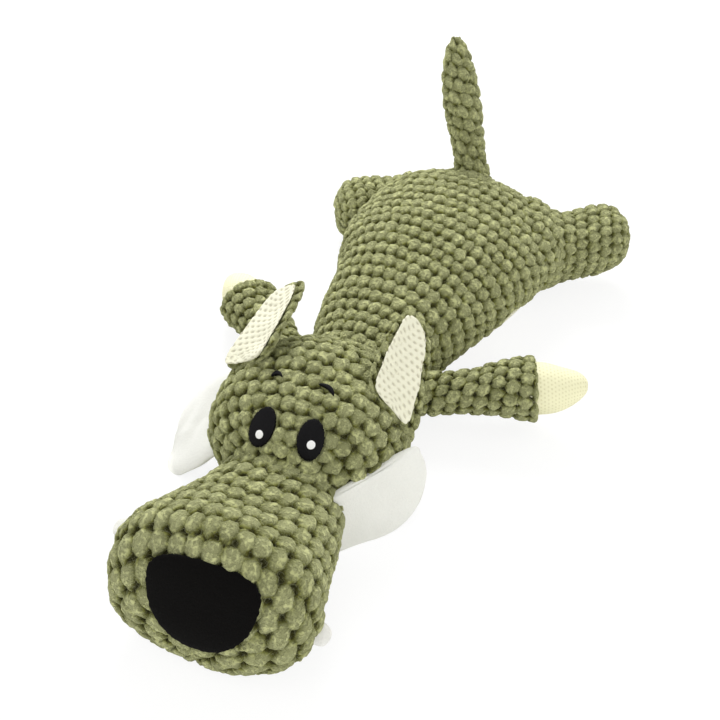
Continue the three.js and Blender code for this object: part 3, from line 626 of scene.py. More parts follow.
@dataclass(frozen=True)
class Finish:
    """A cloth, thread or moulded finish.

    Attributes:
        name: the real material's common name.
        slot: the record's slot that it dresses.
        stops: places and hex colours of the painted shade, from the top of the cloth, 0, to its
            creases or holes, 1.
        shade: how much brighter or darker single bumps are.
        fleck: size of the nap, weave or grain that shows as flecks.
        flecks: how much the flecks change the brightness.
        contrast: how sharply the flecks stand out, 1 for softly.
        relief: how high the flecks stand.
        roughness: roughness of the surface.
        specular: strength of its gloss, 0.5 for a bare plastic.
        sheen: weight of the glow of its fibres at grazing angles.
        glow: colour of that glow.
    """

    name: str
    slot: Slot
    stops: tuple[tuple[float, str], ...]
    shade: float = 0.0
    fleck: float = 1.0 * MM
    flecks: float = 0.1
    contrast: float = 1.0
    relief: float = 0.15 * MM
    roughness: float = 0.9
    specular: float = 0.2
    sheen: float = 0.2
    glow: str = "#FFFFFF"

    def material(self) -> bpy.types.Material:
        """The finish as a material; it is made once."""
        made = bpy.data.materials.get(self.name)
        if made:
            return made
        made = bpy.data.materials.new(self.name)
        tree = empty_tree(made)
        place = add_node(tree, "TexCoord").outputs["Object"]
        crevice, shade = (
            add_node(tree, "Attribute", attribute_name=name).outputs["Fac"]
            for name in ("crevice", "shade")
        )
        # The colour ramp paints shade from the crevice attribute: darker in creases and holes.
        colour = add_node(tree, "ValToRGB", {"Fac": crevice}, self.stops)
        noises = [
            {"Vector": place, "Scale": 1.0 / size, "Detail": 3.0, "Roughness": 0.6}
            for size in (self.fleck, 2.0 * self.fleck)
        ]
        nap, clump = (add_node(tree, "TexNoise", noise) for noise in noises)
        both = add_node(tree, "Math", {0: nap, 1: clump}, operation="ADD")
        spread = 0.32 / self.contrast
        span = {"Value": both, "From Min": 1.0 - spread, "From Max": 1.0 + spread}
        nap = add_node(tree, "MapRange", span)
        light = 1.0 - self.flecks / 2
        for source, weight in ((shade, self.shade), (nap, self.flecks)):
            terms = {0: source, 1: weight, 2: light}
            light = add_node(tree, "Math", terms, operation="MULTIPLY_ADD")
        tinted = add_node(tree, "HueSaturation", {"Color": colour, "Value": light})
        bump = add_node(tree, "Bump", {"Height": nap, "Strength": 1.0, "Distance": self.relief})
        surface = {
            "Base Color": tinted,
            "Normal": bump,
            "Roughness": self.roughness,
            "Specular IOR Level": self.specular,
            "Sheen Weight": self.sheen,
            "Sheen Roughness": 0.5,
            "Sheen Tint": linear(self.glow),
        }
        shader = add_node(tree, "BsdfPrincipled", surface)
        add_node(tree, "OutputMaterial", {"Surface": shader})
        return made


# Polyester popcorn plush: a short velvet pile, with painted shade that darkens it between the bumps
POPCORN_PLUSH = Finish(
    "polyester_popcorn_plush",
    Slot.PLUSH,
    ((0.0, "#A8AA7A"), (0.22, "#949667"), (0.5, "#71733D"), (0.78, "#49481B"), (1.0, "#33320E")),
    shade=0.06, fleck=2.1 * MM, flecks=0.6, contrast=1.9, relief=1.1 * MM,
    roughness=0.95, specular=0.05, sheen=0.5, glow="#D9DCB0",
)
# Cream warp-knitted polyester mesh: matt, with painted shade that softly darkens its holes
CREAM_MESH = Finish(
    "polyester_mesh_cloth",
    Slot.MESH,
    ((0.0, "#EFEDD5"), (0.5, "#E4E1C8"), (1.0, "#CBC7B1")),
    fleck=0.7 * MM, flecks=0.05, relief=0.08 * MM, roughness=0.85, sheen=0.1,
)
# Paws are the same mesh in a yellower cream
PAW_MESH = replace(
    CREAM_MESH,
    name="polyester_paw_mesh_cloth",
    stops=((0.0, "#F2EFC9"), (0.6, "#E8E4BC"), (1.0, "#D8D3A6")),
)
# Brushed polyester fleece: smooth, soft and without gloss
FLEECE = Finish(
    "polyester_fleece",
    Slot.FLEECE,
    ((0.0, "#ECECE5"), (1.0, "#DEDED6")),
    fleck=0.9 * MM, flecks=0.04, relief=0.12 * MM, roughness=0.95, sheen=0.3,
)
# White polyester felt: matt, with a coarse fibre surface
FELT = Finish(
    "polyester_felt",
    Slot.FELT,
    ((0.0, "#F1F0EA"), (1.0, "#E2E1DA")),
    fleck=0.7 * MM, flecks=0.07, relief=0.18 * MM,
)
# Black velour: a dense pile that swallows light
VELOUR = Finish(
    "polyester_velour",
    Slot.VELOUR,
    ((0.0, "#0D0C0B"), (1.0, "#070606")),
    fleck=0.6 * MM, flecks=0.4, relief=0.2 * MM, roughness=1.0, specular=0.05, sheen=0.02,
)
# Rayon embroidery thread in satin stitch: thread by thread, with a slight gloss and painted shade
# between the threads
BLACK_THREAD = Finish(
    "rayon_thread_black",
    Slot.BLACK_THREAD,
    ((0.0, "#070608"), (1.0, "#020202")),
    fleck=0.6 * MM, flecks=0.35, relief=0.08 * MM, roughness=0.45, specular=0.1, sheen=0.0,
)
WHITE_THREAD = replace(
    BLACK_THREAD,
    name="rayon_thread_white",
    slot=Slot.WHITE_THREAD,
    stops=((0.0, "#F8F8F6"), (1.0, "#E4E4E0")),
    flecks=0.04,
)
# Loose polyester fibre: white, matt and lumpy
FIBRE_FILL = Finish(
    "polyester_fibre_fill",
    Slot.FILL,
    ((0.0, "#F3F3F0"), (1.0, "#DDDDD8")),
    fleck=3.0 * MM, flecks=0.12, relief=1.0 * MM, roughness=1.0,
)
# Soft blow-moulded polyethylene: milky, with a dull moulded gloss
POLYETHYLENE = Finish(
    "polyethylene_moulded",
    Slot.PLASTIC,
    ((0.0, "#E9E6DC"), (1.0, "#D9D5C8")),
    fleck=1.2 * MM, flecks=0.05, relief=0.03 * MM, roughness=0.42, specular=0.5, sheen=0.0,
)


@dataclass(frozen=True)
class Blend:
    """Where a cover bends across a joint: the two bodies, and the points where each takes over."""

    parent: str
    child: str
    start: Sequence[float]
    end: Sequence[float]

    @classmethod
    def about(
        cls, parent: str, child: str, middle: Vector, before: Vector, after: Vector
    ) -> "Blend":
        """A bend that reaches from before the middle to after it."""
        return cls(parent, child, tuple(middle - before), tuple(middle + after))


def dress(
    piece: bpy.types.Object,
    finish: Finish,
    node: str,
    body: Optional[str] = None,
    across: Optional[Blend] = None,
) -> bpy.types.Object:
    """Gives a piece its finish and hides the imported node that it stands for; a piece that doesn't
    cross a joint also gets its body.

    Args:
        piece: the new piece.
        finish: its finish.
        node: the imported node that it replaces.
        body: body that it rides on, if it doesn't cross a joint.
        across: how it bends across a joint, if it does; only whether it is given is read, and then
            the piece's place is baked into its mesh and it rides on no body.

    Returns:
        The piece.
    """
    piece.data.materials.append(finish.material())
    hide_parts(node)
    if across:
        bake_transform(piece)
    else:
        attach(piece, body)
    LOG.info("%s: %d points", piece.name, len(piece.data.vertices))
    return piece


# --- Meshes ---


def ring_faces(rings: int, columns: int) -> list:
    """Faces of a closed body: quads between neighbouring rings and a fan at each end.

    The two end points come after the rings' points.

    Args:
        rings: number of rings.
        columns: points in each ring.

    Returns:
        The faces, as lists of point numbers.
    """
    side = np.arange(columns)
    past = (side + 1) % columns
    foot = np.arange(rings - 1)[:, None] * columns
    quads = np.stack([foot + side, foot + past, foot + columns + past, foot + columns + side], -1)
    end = (rings - 1) * columns
    first = np.stack([np.full(columns, rings * columns), past, side], -1)
    last = np.stack([np.full(columns, rings * columns + 1), end + side, end + past], -1)
    return quads.reshape(-1, 4).tolist() + first.tolist() + last.tolist()


def volume_sign(points: Array, faces: list) -> float:
    """Sign of the volume inside faces, from the fan of each face about its first corner.

    Args:
        points: the mesh's points.
        faces: its triangles and quads.

    Returns:
        A positive number if the faces point outwards.
    """
    quads = np.array([face + face[-1:] if len(face) == 3 else face for face in faces])
    a, b, c, d = (points[quads[:, n]] for n in range(4))
    return float((a * (np.cross(b, c) + np.cross(c, d))).sum())


def linked(name: str, data: Optional[bpy.types.ID]) -> bpy.types.Object:
    """A new object of the scene.

    Args:
        name: name of the object.
        data: its mesh, camera or lamp.

    Returns:
        The object.
    """
    thing = bpy.data.objects.new(name, data)
    bpy.context.scene.collection.objects.link(thing)
    return thing


def closed_mesh(name: str, grid: Array, ends: Array, **layers: Array) -> bpy.types.Object:
    """Object of a closed body of rings, smooth shaded, with its faces outwards.

    Args:
        name: name of the piece.
        grid: points of the rings, as rings x columns x 3.
        ends: the two end points.
        layers: numbers for the rings' points, kept as attributes; an end takes the mean of
            the ring next to it.

    Returns:
        The new object, at the origin.
    """
    points = np.vstack([grid.reshape(-1, 3), ends])
    faces = ring_faces(*grid.shape[:2])
    if volume_sign(points, faces) < 0:
        faces = [face[::-1] for face in faces]
    mesh = bpy.data.meshes.new(name)
    mesh.from_pydata(points.tolist(), [], faces)
    mesh.polygons.foreach_set("use_smooth", np.ones(len(faces), bool))
    for key, values in layers.items():
        values = np.broadcast_to(values, grid.shape[:2])
        every = np.concatenate([values.ravel(), [values[0].mean(), values[-1].mean()]])
        layer = mesh.attributes.new(key, "FLOAT", "POINT")
        layer.data.foreach_set("value", every.astype(np.float32))
    mesh.update()
    return linked(name, mesh)


Warp = Callable[[Array], Array]


@dataclass
class Cover:
    """Sewn cover over a form: the form's skin, its stuffing's unevenness and its cloth's relief.

    Attributes:
        name: name of the piece.
        form: shape of the cover.
        cloth: relief of its cloth.
        matrix: place of the form's frame.
        spacing: distance between the mesh's points.
        lumps: height of the stuffing's unevenness.
        lump_length: its wavelength.
        seed: its seed.
        swell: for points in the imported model's frame, how far the cover swells there.
        press: for the same points, a share from 0 to 1 by which the relief is pressed flat.
        bend: moves points of the bare form, in its own frame, before all else.
        floor: True if the floor flattens what would lie below it.
    """

    name: str
    form: Form
    cloth: Cloth
    matrix: Matrix = field(default_factory=Matrix)
    spacing: float = 0.9 * MM
    lumps: float = 0.9 * MM
    lump_length: float = 46 * MM
    seed: int = 1
    swell: Optional[Warp] = None
    press: Optional[Warp] = None
    bend: Optional[Warp] = None
    floor: bool = False

    def grid(self) -> tuple[Array, Array]:
        """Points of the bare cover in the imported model's frame, and its two end points."""
        t = self.form.even_places(self.spacing)[:, None]
        columns = 2 * int(self.form.girth() / self.spacing / 2)
        angle = np.pi / 2 - (np.arange(columns) / columns * 2.0 - 1.0) * np.pi
        local = self.form.skin(t, angle[None, :])
        ends = self.form.skin(np.array([0.0, self.form.last]), np.zeros(2))
        if self.bend:
            local, ends = self.bend(local), self.bend(ends)
        return transformed(self.matrix, local), transformed(self.matrix, ends)

    def build(self) -> bpy.types.Object:
        """Makes the cover.

        The skin is moved along its normals by the lumps and the swell. Arc lengths from the
        top line (u) and from the widest ring (v) then place the cloth, whose relief moves the
        points along the normals and sideways. The relief fades at the seam along the underside,
        where a deep one leaves the skin sunk.

        Returns:
            The new piece.
        """
        grid, ends = self.grid()
        push = self.lumps * ripple(grid, self.lump_length, self.seed)
        if self.swell:
            push = push + self.swell(grid)
        grid = grid + grid_normals(grid) * push[..., None]
        place = grid_place(grid)
        along_u, along_v = grid_tangents(grid)
        normal = grid_normals(grid)
        texture = self.cloth.texture(place)
        keep = smooth_step(0.0, SEAM_WIDTH, place.girth / 2.0 - np.abs(place.u))
        if self.press:
            keep = keep * (1.0 - self.press(grid))
        sunk = SEAM_DEPTH if texture.lift.min() < -DEEP_RELIEF else 0.0
        lift = texture.lift * keep - sunk * (1.0 - keep)
        for way, shift in (
            (normal, lift), (along_u, texture.lean_u * keep), (along_v, texture.lean_v * keep)
        ):
            grid = grid + way * shift[..., None]
        if self.floor:
            grid[..., 2], ends[:, 2] = resting(grid[..., 2]), resting(ends[:, 2])
        return closed_mesh(
            self.name, grid, ends, crevice=texture.crevice * keep, shade=texture.shade
        )


def resting(height: Array) -> Array:
    """Heights above the floor after it has flattened what lies below 1 mm.

    Below that height they close in on the floor as an exponential.
    """
    soft = 1.0 * MM
    return np.where(height > soft, height, soft * np.exp(np.minimum(height - soft, 0.0) / soft))


def grid_tangents(grid: Array) -> tuple[Array, Array]:
    """Unit directions round and along a closed ring grid, from its neighbours' differences.

    Args:
        grid: points of the rings.

    Returns:
        The two directions at each point.
    """
    round_way = np.roll(grid, -1, 1) - np.roll(grid, 1, 1)
    along = np.gradient(grid, axis=0)
    return unit(round_way), unit(along)


def grid_normals(grid: Array) -> Array:
    """Unit normals of a closed ring grid, turned away from its middle line.

    Args:
        grid: points of the rings.

    Returns:
        The normal at each point.
    """
    round_way, along = grid_tangents(grid)
    normal = unit(np.cross(round_way, along))
    middle = grid.mean(1, keepdims=True)
    inward = ((grid - middle) * normal).sum() < 0
    return -normal if inward else normal


def grid_place(grid: Array) -> Place:
    """Places of a closed ring grid whose first column is the underside's seam.

    Lengths along a column are stretched, on either side of the widest ring, so that every
    column is as long as the mean one and rows of bumps reach an end all at once.

    Args:
        grid: points of the rings.

    Returns:
        Where each point lies on the cloth.
    """
    step = np.linalg.norm(np.roll(grid, -1, 1) - grid, axis=-1)
    run = np.concatenate([np.zeros((len(grid), 1)), np.cumsum(step, 1)], 1)
    girth = run[:, -1:]
    u = run[:, :-1] - run[:, grid.shape[1] // 2][:, None]
    rise = np.linalg.norm(np.diff(grid, axis=0), axis=-1)
    v = np.concatenate([np.zeros((1, grid.shape[1])), np.cumsum(rise, 0)], 0)
    widest = int(np.argmax(girth))
    v = v - v[widest]
    ahead, behind = np.abs(v[-1]) + TINY, np.abs(v[0]) + TINY
    v = np.where(v > 0, v * ahead.mean() / ahead, v * behind.mean() / behind)
    return Place(grid, u, v, np.maximum(girth, TINY))


# --- The toy's forms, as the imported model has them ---

TORSO = Form(
    length=222 * MM,
    half_width=70 * MM,
    height=83 * MM,
    start=-121 * MM,
    sink=0.5 * MM,
    mid_share=0.42,
    squareness=2.2,
    shares=(
        (0.0, 0.0, 0.33, 0.33),
        (0.012, 0.3, 0.49, 0.17),
        (0.055, 0.47, 0.59, 0.07),
        (0.12, 0.53, 0.63, 0.03),
        (0.25, 0.63, 0.72, 0.0),
        (0.4, 0.78, 0.85, 0.0),
        (0.54, 0.93, 0.96, 0.0),
        (0.68, 1.0, 1.0, 0.0),
        (0.8, 0.97, 1.0, 0.0),
        (0.9, 0.78, 0.92, 0.04),
        (0.97, 0.47, 0.77, 0.17),
        (1.0, 0.0, 0.46, 0.46),
    ),
)
HEAD = Form(
    length=101 * MM,
    half_width=57 * MM,
    height=77.5 * MM,
    start=-15 * MM,
    direction=-1,
    sink=-1.5 * MM,
    mid_share=0.46,
    squareness=2.15,
    shares=(
        (0.0, 0.0, 0.5, 0.5),
        (0.03, 0.42, 0.74, 0.24),
        (0.14, 0.74, 0.9, 0.09),
        (0.34, 0.94, 1.0, 0.01),
        (0.56, 1.0, 0.99, 0.0),
        (0.76, 0.92, 0.9, 0.02),
        (0.91, 0.68, 0.76, 0.09),
        (0.985, 0.34, 0.62, 0.24),
        (1.0, 0.0, 0.44, 0.44),
    ),
)
SNOUT = Form(
    length=143 * MM,
    half_width=55 * MM,
    height=77 * MM,
    start=-74 * MM,
    direction=-1,
    sink=0.5 * MM,
    mid_share=0.47,
    squareness=2.15,
    shares=(
        (0.0, 0.0, 0.3, 0.3),
        (0.05, 0.44, 0.48, 0.12),
        (0.22, 0.67, 0.6, 0.02),
        (0.44, 0.8, 0.74, 0.0),
        (0.62, 0.92, 0.9, 0.0),
        (0.77, 1.0, 1.0, 0.0),
        (0.88, 0.97, 0.85, 0.0),
        (0.95, 0.81, 0.62, 0.03),
        (0.99, 0.46, 0.44, 0.13),
        (1.0, 0.0, 0.28, 0.28),
    ),
)
NECK_Y = -97 * MM
HEAD_TURN = 8.4 * DEGREE
HEAD_PLACE = Matrix.Translation((0.0, NECK_Y, 0.0)) @ Matrix.Rotation(HEAD_TURN, 4, "Z")
UP = Vector((0.0, 0.0, 1.0))


def joint_vectors(frame: dict, name: str) -> tuple[Vector, Vector]:
    """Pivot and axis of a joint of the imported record."""
    joint = next(j for j in frame["joints"] if j["name"] == name)
    return Vector(joint["pos_m"]), Vector(joint["axis"])


def round_rows(rows: Sequence[tuple[float, float]]) -> tuple[Row, ...]:
    """Rows of a form that is round about its axis, from places along it and radii, as shares."""
    return tuple((along, share, share, -share) for along, share in rows)


def fillet_swell(distance: Array, reach: float) -> Array:
    """Swelling that rounds the crease between two skins.

    It is a quarter of reach times the square of what is left of reach at that distance from
    the other skin, as in a smooth union of the two.
    """
    left = np.clip(1.0 - np.abs(distance) / reach, 0.0, 1.0)
    return reach / 4.0 * left**2


def leg_direction(side: Side, sweep: float, lift: float) -> Vector:
    """Direction of a leg from its sweep backwards and its lift, in degrees.

    Args:
        side: the leg's side.
        sweep: angle backwards from square to the body.
        lift: angle upwards.

    Returns:
        A unit direction.
    """
    sweep, lift = sweep * DEGREE, lift * DEGREE
    level = math.cos(lift)
    return Vector(
        (side.value * level * math.cos(sweep), level * math.sin(sweep), math.sin(lift))
    )


@dataclass
class Limb:
    """Leg or tail: a cover that grows out of the torso along its own axis.

    Attributes:
        name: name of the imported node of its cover.
        body: body that it swings with.
        frame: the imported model, whose joint it turns on.
        length: from the pivot to the tip.
        radius: what the rows' radii are shares of.
        root: radius where it leaves the torso.
        direction: unit direction at rest.
        rows: along and radius, as shares.
        fillet: how far the cover and the torso swell into each other.
        cloth: its plush.
        inside: how far it runs on into the torso.
        before, after: how far its bend reaches to either side of a place near the pivot.
        bend_depth: how far inside the pivot that place lies.
    """

    name: str
    body: str
    frame: dict
    length: float
    radius: float
    root: float
    direction: Vector
    rows: tuple[tuple[float, float], ...]
    fillet: float
    cloth: Popcorn
    inside: float = 26 * MM
    before: float = 13 * MM
    after: float = 17 * MM
    bend_depth: float = 4 * MM

    @property
    def pivot(self) -> Vector:
        """Pivot of its joint."""
        return joint_vectors(self.frame, f"{self.name}_swing")[0]

    @property
    def matrix(self) -> Matrix:
        """Place of the limb's frame, whose +Y axis runs out along it."""
        turn = Vector((0.0, 1.0, 0.0)).rotation_difference(self.direction)
        return Matrix.Translation(self.pivot) @ turn.to_matrix().to_4x4()

    def form(self) -> Form:
        """The limb as a form, from a closed end inside the torso to its tip."""
        total = self.length + self.inside
        root = self.root / self.radius
        rows = [(0.0, 0.0), (0.02, 0.8 * root), (0.1, root), (self.inside / total, root)]
        rows += [((self.inside + along * self.length) / total, share) for along, share in self.rows]
        return Form(total, self.radius, self.radius, -self.inside, round_rows(rows))

    def swell_near_torso(self, points: Array) -> Array:
        """How far the limb's skin swells where it meets the torso."""
        return fillet_swell(TORSO.depth(points), self.fillet)

    def swell_on_torso(self, points: Array) -> Array:
        """How far the torso's skin swells where the limb meets it."""
        local = transformed(self.matrix.inverted(), points)
        return fillet_swell(self.form().depth(local), self.fillet)

    def build(self) -> None:
        """Makes and dresses the limb's cover."""
        cover = Cover(
            f"{self.name}_plush", self.form(), self.cloth, self.matrix,
            seed=self.cloth.seed, swell=self.swell_near_torso, floor=True,
        ).build()
        middle = self.pivot - self.direction * self.bend_depth
        across = Blend.about(
            "torso", self.body, middle, self.direction * self.before, self.direction * self.after
        )
        dress(cover, POPCORN_PLUSH, self.name, across=across)


@dataclass
class Limbs:
    """The four legs, the two paws and the tail."""

    frame: dict
    foreleg_rows: tuple = (
        (0.3, 0.7), (0.6, 0.8), (0.8, 0.94), (0.93, 1.0), (0.985, 0.88), (1.0, 0.0),
    )
    hind_leg_rows: tuple = ((0.3, 0.98), (0.55, 1.0), (0.8, 0.88), (0.95, 0.52), (1.0, 0.0))
    tail_rows: tuple = (
        (0.22, 0.9), (0.42, 1.0), (0.64, 0.94), (0.84, 0.7), (0.96, 0.38), (1.0, 0.0),
    )
    paw_rows: tuple = (
        (0.0, 0.0), (0.02, 0.55), (0.12, 0.96), (0.46, 1.0), (0.68, 0.86), (0.88, 0.56),
        (0.98, 0.26), (1.0, 0.0),
    )
    paw_start: float = 50 * MM
    paw_length: float = 50 * MM
    paw_radius: float = 16.1 * MM

    def limbs(self) -> list[Limb]:
        """The five limbs; each pair of angles is a leg's sweep and lift."""
        foreleg = Popcorn(row=8.6 * MM, climb=2)
        hind_leg = replace(foreleg, pitch=7.8 * MM, shadow=0.72)
        legs = []
        for side, fore, hind, fillet in (
            (Side.LEFT, (27, 5.5), (34, 5), 46), (Side.RIGHT, (33, -1.5), (-44, -2), 30),
        ):
            legs.append(Limb(
                f"foreleg_{side.word}", f"{side.word}_foreleg", self.frame,
                70 * MM, 19.5 * MM, 12.5 * MM, leg_direction(side, *fore),
                self.foreleg_rows, 12 * MM, replace(foreleg, seed=5 + side.value),
            ))
            legs.append(Limb(
                f"hind_leg_{side.word}", f"{side.word}_hind_leg", self.frame,
                47 * MM, 24 * MM, 22.5 * MM, leg_direction(side, *hind),
                self.hind_leg_rows, fillet * MM, replace(hind_leg, seed=9 + side.value),
            ))
        upright = Vector((-math.tan(18 * DEGREE), math.tan(14 * DEGREE), 1.0)).normalized()
        plush = Popcorn(pitch=8.4 * MM, row=9.0 * MM, climb=3, shadow=0.68, seed=12)
        return legs + [Limb(
            "tail", "tail_limb", self.frame, 88 * MM, 12.2 * MM, 11 * MM, upright,
            self.tail_rows, 10 * MM, plush, inside=18 * MM,
        )]

    def paw(self, leg: Limb) -> None:
        """Makes the mesh paw that comes out of a foreleg's cuff.

        Args:
            leg: the foreleg that it belongs to.
        """
        rows = round_rows(self.paw_rows)
        form = Form(self.paw_length, self.paw_radius, self.paw_radius, self.paw_start, rows)
        cloth = HoledMesh(2.6 * MM, 2.2 * MM, wide=0.7 * MM, tall=0.55 * MM, depth=0.2 * MM)
        name = leg.name.replace("leg", "paw")
        paw = Cover(
            f"{name}_mesh", form, cloth, leg.matrix, spacing=0.5 * MM,
            lumps=0.5 * MM, lump_length=24 * MM, seed=leg.cloth.seed, floor=True,
        ).build()
        dress(paw, PAW_MESH, name, body=leg.body)


@dataclass
class Torso:
    """Body cover and belly panel.

    Attributes:
        limbs: the limbs that the body swells towards.
        lumps, lump_length, seed: height, wavelength and seed of the stuffing's unevenness.
        panel_width: half width of the panel, as a share of the torso's.
        bulge, bulge_length: how much wider it is at the left flank, and how long that place is.
        panel_front, panel_back: where it starts and ends, as shares of the torso's length.
        panel_squareness: exponent of its outline.
        panel_rows, panel_columns: points of its grid.
        inner, outer: how far its faces stand under and off the torso's skin.
        neck: height of the neck's middle, where the cover bends.
    """

    limbs: list[Limb]
    lumps: float = 1.2 * MM
    lump_length: float = 60 * MM
    seed: int = 4
    panel_width: float = 0.86
    bulge: float = 0.13
    bulge_length: float = 30 * MM
    panel_front: float = 0.20
    panel_back: float = 0.93
    panel_squareness: int = 8
    panel_rows: int = 150
    panel_columns: int = 90
    inner: float = 1.4 * MM
    outer: float = 0.5 * MM
    neck: float = 27 * MM

    def swell(self, points: Array) -> Array:
        """How far the torso swells towards its limbs."""
        return np.sum([limb.swell_on_torso(points) for limb in self.limbs], axis=0)

    def panel_reach(self, y: Array, left: Array) -> Array:
        """Share of the torso's half width that the panel covers at y, more at the left flank."""
        return self.panel_width + self.bulge * np.exp(-((y / self.bulge_length) ** 2)) * left

    def under_panel(self, points: Array) -> Array:
        """1 where the belly panel covers the torso, 0 beyond its seam.

        Args:
            points: points near the torso's skin.

        Returns:
            A share from 0 to 1 for each point.
        """
        x, y, z = np.moveaxis(points, -1, 0)
        front, back = (
            TORSO.start + share * TORSO.length for share in (self.panel_front, self.panel_back)
        )
        at, width, _, under = TORSO.profile(np.linspace(0.0, TORSO.last, STEPS))
        along = 2.0 * (y - front) / (back - front) - 1.0
        closing = np.sqrt(np.clip(1.0 - np.abs(along) ** self.panel_squareness, 0.0, 1.0))
        half = np.interp(y, at, width) * self.panel_reach(y, x > 0) * closing
        inside = smooth_step(-1.5 * MM, 1.0 * MM, half - np.abs(x))
        return inside * (z < np.interp(y, at, under) + TORSO.height * TORSO.mid_share)

    def build(self) -> None:
        """Makes and dresses the body cover and the belly panel."""
        cover = Cover(
            "body_plush", TORSO, Popcorn(shadow=0.85, seed=2, facing=-1), spacing=1.0 * MM,
            lumps=self.lumps, lump_length=self.lump_length, seed=self.seed,
            swell=self.swell, press=self.under_panel, floor=True,
        ).build()
        across = Blend("torso", "head", (0.0, -72 * MM, self.neck), (0.0, -112 * MM, self.neck))
        dress(cover, POPCORN_PLUSH, "body_cover", across=across)
        self.build_panel()

    def build_panel(self) -> None:
        """Makes the belly panel, a sheet of mesh cloth sewn in under the body.

        Across it the points lie at even shares of its half width, which the angle round the
        torso follows from; its outer face stands just off the skin and its inner face under it.
        """
        front, back = (TORSO.place_along(share) for share in (self.panel_front, self.panel_back))
        s = np.linspace(-1.0, 1.0, self.panel_rows + 2)[1:-1, None]
        t = front + (back - front) * (s + 1.0) / 2.0
        closing = np.sqrt(1.0 - np.abs(s) ** self.panel_squareness)
        w = np.sin(np.linspace(-1.0, 1.0, self.panel_columns) * np.pi / 2)[None, :]
        reach = self.panel_reach(TORSO.profile(t)[0], w > 0)
        share = np.clip(reach * closing * w, -1.0, 1.0)
        lean = np.arccos(np.abs(share) ** (TORSO.squareness / 2.0))
        skin = TORSO.skin(t, -np.where(share < 0, np.pi - lean, lean))
        normal = TORSO.outward(skin)
        swell = self.lumps * ripple(skin, self.lump_length, self.seed) + self.swell(skin)
        skin = skin + normal * swell[..., None]
        u, v = (
            np.cumsum(np.linalg.norm(np.diff(skin, axis=axis, prepend=first), axis=-1), axis)
            for axis, first in ((1, skin[:, :1]), (0, skin[:1]))
        )
        place = Place(skin, u - u[:, -1:] / 2, v, u[:, -1:])
        texture = HoledMesh(4.0 * MM, 3.2 * MM).texture(place)
        edge = np.clip((1.0 - np.abs(w)) * 40.0, 0.0, 1.0)
        top = skin + normal * ((self.outer + texture.lift) * edge)[..., None]
        grid = np.concatenate([top, (skin - normal * self.inner)[:, ::-1]], 1)
        grid[..., 2] = np.maximum(grid[..., 2], 0.05 * MM)
        ends = np.stack([grid[0].mean(0), grid[-1].mean(0)])
        # Painted shade of the holes on the outer face, none on the inner face
        crevice = np.concatenate([texture.crevice, np.zeros(skin.shape[:2])], 1)
        piece = closed_mesh("belly_mesh", grid, ends, crevice=crevice)
        dress(piece, CREAM_MESH, "belly_panel", body="torso")


# --- Head ---


@dataclass
class Patch:
    """Sewn or stitched patch on a form, inside an outline seen along its own Z axis.

    Attributes:
        name: name of the piece.
        form: the form that it lies on, in the head's frame.
        frame: place of the patch: X to the dog's left, Y up the face, Z out of it.
        half_width, half_height: half sizes of its outline.
        base, top: heights of its edge's foot and of its face above the form.
        squareness: exponent of the outline's superellipse.
        narrowing: by how much its half width grows from its middle to its top.
        waist: height at which it has its full width, as a share of the half height.
        arch: how far its middle stands above its ends.
        ragged: height of the outline's raggedness.
        ridge: width of a thread, or 0 for a cloth.
        ridge_depth: depth of the creases between threads.
        spacing: distance between the mesh's points.
        reach: how far along its Z axis the form's skin is looked for, either way.
    """

    name: str
    form: Form
    frame: Matrix
    half_width: float
    half_height: float
    base: float
    top: float
    squareness: float = 2.0
    narrowing: float = 0.0
    waist: float = 0.0
    arch: float = 0.0
    ragged: float = 0.0
    ridge: float = 0.0
    ridge_depth: float = 0.25 * MM
    spacing: float = 0.6 * MM
    reach: float = 30 * MM

    def build(self) -> bpy.types.Object:
        """Makes the patch.

        Rings shrink from the outline to the middle, on the face and again underneath. Each
        point is dropped along the patch's Z axis on the form's skin by bisection and then
        raised along the skin's normal: fully on the face, rounded at the edge.

        Returns:
            The new piece.
        """
        largest = max(self.half_width, self.half_height)
        columns = max(int(2 * np.pi * largest / self.spacing), 24)
        rings = 2 * max(int(largest / self.spacing), 8)
        angle = np.linspace(0.0, 2 * np.pi, columns, endpoint=False)[None, :]
        roll = ((np.arange(rings) + 0.5) / rings * np.pi)[:, None]
        level = (signed_power(np.cos(roll), 0.35) + 1.0) / 2.0
        power = 2.0 / self.squareness
        rim = (np.cos(angle * 31 + 1.0) + np.sin(angle * 17) + np.sin(angle * 47)) / 3
        size = np.sin(roll) ** 0.8 * (1.0 + self.ragged / self.half_width * rim)
        wide = signed_power(np.cos(angle), power)
        wide = wide * (1.0 + self.narrowing * (np.sin(angle) - self.waist))
        x = wide * self.half_width * size
        y = signed_power(np.sin(angle), power) * self.half_height * size
        y = y + self.arch * (1.0 - (x / self.half_width) ** 2)
        skin = self.dropped(np.stack([x, y, np.zeros(x.shape)], -1))
        # Painted shade between the threads: the ridge mask darkens the creases of the satin stitch.
        ridges = 0.0
        if self.ridge:
            ridges = 0.5 * (1.0 - np.abs(np.sin(np.pi * x / self.ridge))) * (level > 0.5)
        lift = self.base + (self.top - self.base) * level - ridges * self.ridge_depth
        grid = transformed(HEAD_PLACE, skin + self.form.outward(skin) * lift[..., None])
        ends = np.stack([grid[0].mean(0), grid[-1].mean(0)])
        return closed_mesh(self.name, grid, ends, crevice=ridges)

    def dropped(self, flat: Array) -> Array:
        """Points of the form's skin in line with flat points of the patch's frame.

        Args:
            flat: points in the patch's frame.

        Returns:
            Points in the form's frame.
        """
        start = transformed(self.frame, flat)
        way = np.array(self.frame.to_3x3() @ UP)
        low = np.full(flat.shape[:-1], -self.reach)
        high = -low
        for _ in range(28):
            middle = (low + high) / 2
            outside = self.form.depth(start + way * middle[..., None]) > 0
            low, high = np.where(outside, low, middle), np.where(outside, middle, high)
        return start + way * ((low + high) / 2)[..., None]


